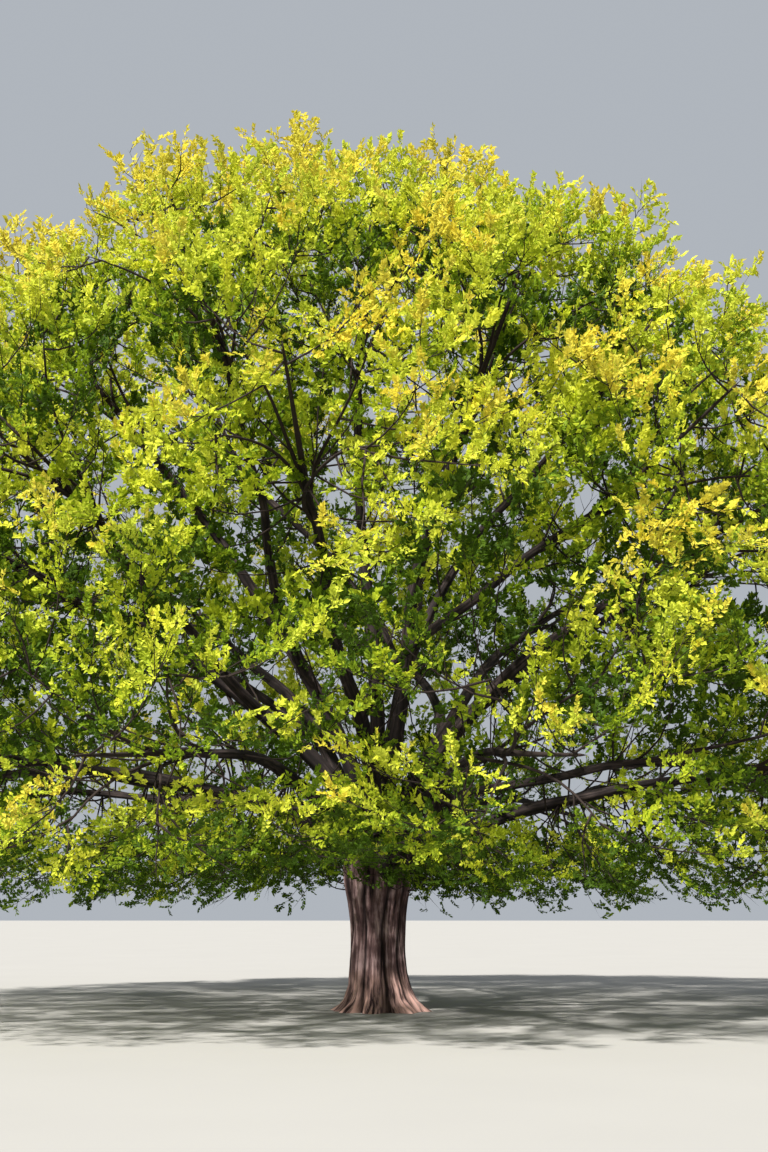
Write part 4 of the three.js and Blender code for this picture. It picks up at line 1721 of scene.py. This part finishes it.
    def stems(self, mass: Mass) -> Stems:
        """A mass's stem and twigs as tubes, its sprays, and places along its twigs.

        Each side twig leaves the bough below its tip, along the bough, and bends out to its end as a
        quadratic curve, with a sway that is nothing at its ends and its middle.

        Args:
            mass: the mass.

        Returns:
            What stands on the bough's tip.
        """
        corners, twigs = self.rule.twigs(mass)
        near = np.linalg.norm(self.centres - mass.hub, axis=1) < self.crown.far
        balls = self.centres[near], self.radii[near]
        share = np.linspace(0, 1, 12)
        bough = self.boughs[mass.key].path
        stem = Path.through(corners).at(share)
        girth, loss, sides = self.stem_girth
        shapes = [tubes(stem[None], (girth - loss * share**0.8)[None, :-1], sides)]
        sprays: list[Spray] = []
        places = [stem, bough.at(np.linspace(0.45, 1, 14))]
        for twig in twigs:
            own = self.rule.sprays(mass, twig, balls)
            key = 10 * mass.key + twig.number
            path = Path(twig.path.at(share))
            if twig.number:
                below = self.first_fork + self.fork_step * (twig.number - 1 + chance(key, 42))
                leaves = 1 - below / bough.length
                start, end, rises = bough.at(leaves), twig.path.points[1], bough.way(leaves)
                span = np.linalg.norm(end - start)
                knee = start + rises * 0.48 * span
                across = unit(np.cross(rises, end - start))
                sway = 0.05 * span * np.sin(2 * np.pi * share) * swing(key, 41)
                line = np.outer((1 - share) ** 2, start) + np.outer(2 * share * (1 - share), knee)
                path = Path(line + np.outer(share**2, end) + np.outer(sway, across))
                girth, loss, sides = self.twig_girth
                shapes.append(tubes(path.points[None], (girth - loss * share)[None, :-1], sides))
                for spray in own:
                    along = np.linalg.norm(spray.root - twig.path.points[0]) / twig.path.length
                    spray.root = path.at(0.35 + 0.65 * along)
            places.append(path.points)
            sprays += own + self.filling.sprays(path, key)
        return Stems(shapes, sprays, np.concatenate(places))

    def under_dome(self, layer: FillLayer) -> Array:
        """Places spread evenly below the dome by the golden angle.

        Args:
            layer: the layer that they belong to.

        Returns:
            Those that lie above the hem and below the layer's top.
        """
        crown, rng = self.crown, np.random.default_rng(layer.seed)
        outward, turn = evenly_round(layer.places)
        places = crown.centre + outward * (crown.radius - layer.depth) + rng.normal(0, 0.15, outward.shape)
        return places[(places[:, 2] > crown.hem(turn) + 0.35) & (places[:, 2] < layer.top)]

    def fill(self, layer: FillLayer, wanted: Array) -> None:
        """Adds sprays that reach for the open places of one layer.

        Each place that has no spray near it gets one, from the twig for which the way is short and leads
        outward.

        Args:
            layer: the layer.
            wanted: its places.
        """
        crown, rng = self.crown, np.random.default_rng(layer.seed)
        sprays = [spray for stems in self.growing for spray in stems.sprays]
        marks = np.array([[0.35], [0.65], [0.9]])
        middles = np.concatenate([spray.root + spray.way * spray.length * marks for spray in sprays])
        starts = np.concatenate([stems.places for stems in self.growing])
        owners = np.repeat(np.arange(len(self.growing)), [len(stems.places) for stems in self.growing])
        added = 0
        for place in wanted:
            gap = layer.gap * (1 + self.low_openness * float(smoothstep(-place[2], -8.0, -6.5)))
            if np.linalg.norm(middles - place, axis=1).min() < gap:
                continue
            steps = place - starts
            far = np.linalg.norm(steps, axis=1)
            lean = (steps @ unit(place - crown.centre)) / far
            apt = (far > self.nearest_start) & (lean > self.least_lean)
            cost = np.where(apt, far / (0.35 + lean), np.inf)
            nearest = int(np.argmin(cost))
            if cost[nearest] > self.dearest:
                continue
            way = unit(steps[nearest])
            facing = square_to(way, unit(place - crown.centre) + 0.6 * UP)
            length = float(far[nearest]) + self.overshoot
            bare = float(np.clip(1 - self.leafy_length / length, 0.08, 0.5))
            spray = Spray(starts[nearest], way, facing, length, rng.uniform(*layer.tones), bare, 0.015, 0.9)
            self.growing[owners[nearest]].sprays.append(spray)
            added += 1
        log.info("open places filled: %d", added)

    def sprigs(self) -> list[Spray]:
        """Short leafy sprays that stand out from the trunk's collar, in a spiral."""
        made = []
        for i in range(self.sprig_count):
            azimuth = SPIRAL * i + 20 * swing(i, 51)
            height = self.lowest_sprig + self.sprig_rise * (i + chance(i, 52)) / self.sprig_count
            way = heading(azimuth + 25 * swing(i, 53), 4 + 28 * chance(i, 54))
            root = self.trunk.centre(height) + self.sprig_start * heading(azimuth, 0)
            length = 0.75 + 0.45 * chance(i, 55)
            # low tones: these leaves near the trunk are darker as painted shade
            tone = 0.3 * chance(i, 56)
            made.append(Spray(root, way, square_to(way, UP), length, tone, bare=0.2, girth=0.012))
        return made

    def grow(self, *names: str) -> Growth:
        """Everything that grows on the boughs of the named tiers.

        Args:
            names: the tiers.

        Returns:
            The wood and the shoots.
        """
        growth = Growth()
        sprays: list[Spray] = []
        for mass, bough in zip(self.masses, self.boughs):
            if mass.tier.name not in names:
                continue
            stems = self.growing[mass.key]
            growth.wood += stems.shapes
            sprays += stems.sprays + self.inner.sprays(bough.path, mass.key)
            if mass.order % 2 == 0:
                sprays += self.collar.sprays(bough.path, mass.key + 0.5)
        if Level.SKIRT.value.name in names:
            sprays += self.sprigs()
        leafage = self.leafage
        branches, branch_radii, twig_paths, twig_radii = [], [], [], []
        for spray in sprays:
            spray.length = leafage.billows.trimmed(spray)
            levelled = self.level_below * (1 - float(smoothstep(spray.root[2], *self.level_between)))
            spray.facing = square_to(spray.way, spray.facing + levelled * UP)
        sprays = [spray for spray in sprays if spray.length > self.shortest_spray]
        finest, thickening = self.fine_twig
        for spray in sprays:
            points, radii = leafage.limbs(spray)
            branches.append(points)
            branch_radii.append(radii[:-1])
            twigs, lengths = leafage.side_twigs(spray, Path(points))
            twig_paths.append(twigs)
            base = finest + thickening * lengths
            twig_radii.append(base[:, None] * np.array([1.0, 0.6]))
            growth.shoots.append(leafage.shoots(spray, twigs, lengths))
        growth.wood.append(tubes(np.array(branches), np.array(branch_radii), 4))
        paths, radii = np.concatenate(twig_paths), np.concatenate(twig_radii)
        short = radii[:, 0] < finest + thickening * leafage.straight_twig
        # a short twig is straight, so it needs no ring at its bend
        growth.wood.append(tubes(paths[~short], radii[~short], 3))
        growth.wood.append(tubes(paths[short][:, [0, 2]], radii[short][:, :1], 3))
        log.info("%s: %d sprays", names[0], len(sprays))
        return growth

    def dress_tiers(
        self, finishes: dict[Tint, bpy.types.Material], wood: bpy.types.Material, *names: str
    ) -> None:
        """The twigs and leaves of the named tiers, as one piece of wood and pieces of leaves by tint.

        Args:
            finishes: the leaves' materials.
            wood: the twigs' material.
            names: the tiers.
        """
        growth = self.grow(*names)
        shoots = {key: np.concatenate([part[key] for part in growth.shoots]) for key in growth.shoots[0]}
        kept = self.leafage.inside(shoots["start"] + shoots["way"] * shoots["length"][:, None])
        total = int(kept.sum())
        kept[kept] = self.leafage.thinned(shoots["start"][kept])
        log.info("%s: %d of %d shoots stay", names[0], kept.sum(), total)
        shoots = {key: value[kept] for key, value in shoots.items()}
        ends = shoots["start"] + shoots["way"] * shoots["length"][:, None]
        lines = np.stack([shoots["start"], ends], axis=1)
        growth.wood.append(tubes(lines, np.full((len(lines), 1), self.shoot_girth), 3))
        stands_for = self.nodes("foliage", *names)
        twigs = Shape.joined(growth.wood).mesh(f"{names[0]}_twigs", True)
        self.hand_over(twigs, wood, stands_for)
        leafage = self.leafage
        points, owner = leafage.leaf_shape(shoots)
        within = leafage.inside(points.mean(axis=1))
        points, owner = points[within], owner[within]
        tones = shoots["tone"][owner] + leafage.rng.normal(0, leafage.tone_jitter, len(owner))
        classes = np.digitize(tones, leafage.tint_edges)
        for number, tint in enumerate(Tint):
            chosen = points[classes == number]
            starts = 4 * np.arange(len(chosen))[:, None]
            triangles = np.concatenate([starts + [0, 1, 2], starts + [0, 2, 3]], axis=1).reshape(-1, 3)
            for part, first in enumerate(range(0, len(triangles), MOST_TRIANGLES)):
                chunk = triangles[first : first + MOST_TRIANGLES]
                low = chunk.min()
                shape = Shape(chosen.reshape(-1, 3)[low : chunk.max() + 1], chunk - low)
                suffix = f"_{part + 1}" if len(triangles) > MOST_TRIANGLES else ""
                name = f"{names[0]}_leaves_{tint.name.lower()}{suffix}"
                self.hand_over(shape.mesh(name, False), finishes[tint], stands_for)

    def dress(self) -> None:
        """The whole tree."""
        self.dress_bark()
        finishes = {tint: LeafFinish(tint).material() for tint in Tint}
        # painted shade: the twigs' bark is far darker than the trunk's, for the crown's shade
        wood = BarkFinish(
            "twig_bark", (0.010, 0.007, 0.006), (0.024, 0.016, 0.014), (0.052, 0.037, 0.032)
        ).material()
        for names in PIECE_TIERS:
            self.dress_tiers(finishes, wood, *names)


@dataclass
class Studio:
    """The floor, the light and the camera at the photograph's place."""

    floor_size: float = 400.0
    camera_place: tuple[float, float, float] = (0.08, -34.8, 2.0)
    camera_pitch: float = 10.59
    lens: float = 55.0
    sensor: float = 36.0
    sun_way: tuple[float, float, float] = (-0.42, -0.68, 0.98)
    sun_strength: float = 9.2
    sun_angle: float = 3.0
    sun_colour: Colour = (1.0, 0.965, 0.90)
    sky: Colour = (0.80, 0.86, 0.94)
    sky_strength: float = 0.54

    def floor(self) -> None:
        """A wide pale floor at ground level."""
        half = self.floor_size / 2
        corners = np.array([[-half, -half, 0], [half, -half, 0], [half, half, 0], [-half, half, 0]])
        piece = Shape(corners, np.array([[0, 1, 2], [0, 2, 3]])).mesh("studio_floor", False)
        piece.data.materials.append(FloorFinish().material())

    def light(self) -> None:
        """A soft sun from the upper left in front, and an even pale sky."""
        sun = bpy.data.lights.new("key_light", "SUN")
        sun.energy = self.sun_strength
        sun.angle = np.radians(self.sun_angle)
        sun.color = self.sun_colour
        holder = bpy.data.objects.new("key_light", sun)
        holder.rotation_euler = Vector(self.sun_way).to_track_quat("Z", "Y").to_euler()
        bpy.context.scene.collection.objects.link(holder)
        world = bpy.data.worlds.new("studio")
        world.use_nodes = True
        background = world.node_tree.nodes["Background"]
        background.inputs["Color"].default_value = (*self.sky, 1)
        background.inputs["Strength"].default_value = self.sky_strength
        bpy.context.scene.world = world

    def camera(self) -> None:
        """The camera, level with the eye and pitched up a little."""
        lens = bpy.data.cameras.new("camera")
        lens.lens = self.lens
        lens.sensor_width = self.sensor
        lens.clip_end = 1000
        holder = bpy.data.objects.new("camera", lens)
        holder.location = self.camera_place
        holder.rotation_euler = (np.radians(90 + self.camera_pitch), 0, 0)
        bpy.context.scene.collection.objects.link(holder)
        bpy.context.scene.camera = holder

    def build(self) -> None:
        """Everything in the studio."""
        self.floor()
        self.light()
        self.camera()
        bpy.context.scene.view_settings.view_transform = "Standard"


def main() -> None:
    """Builds the studio and the tree."""
    logging.basicConfig(level=logging.INFO, format="%(message)s")
    Studio().build()
    Elm().dress()


if __name__ == "__main__":
    main()
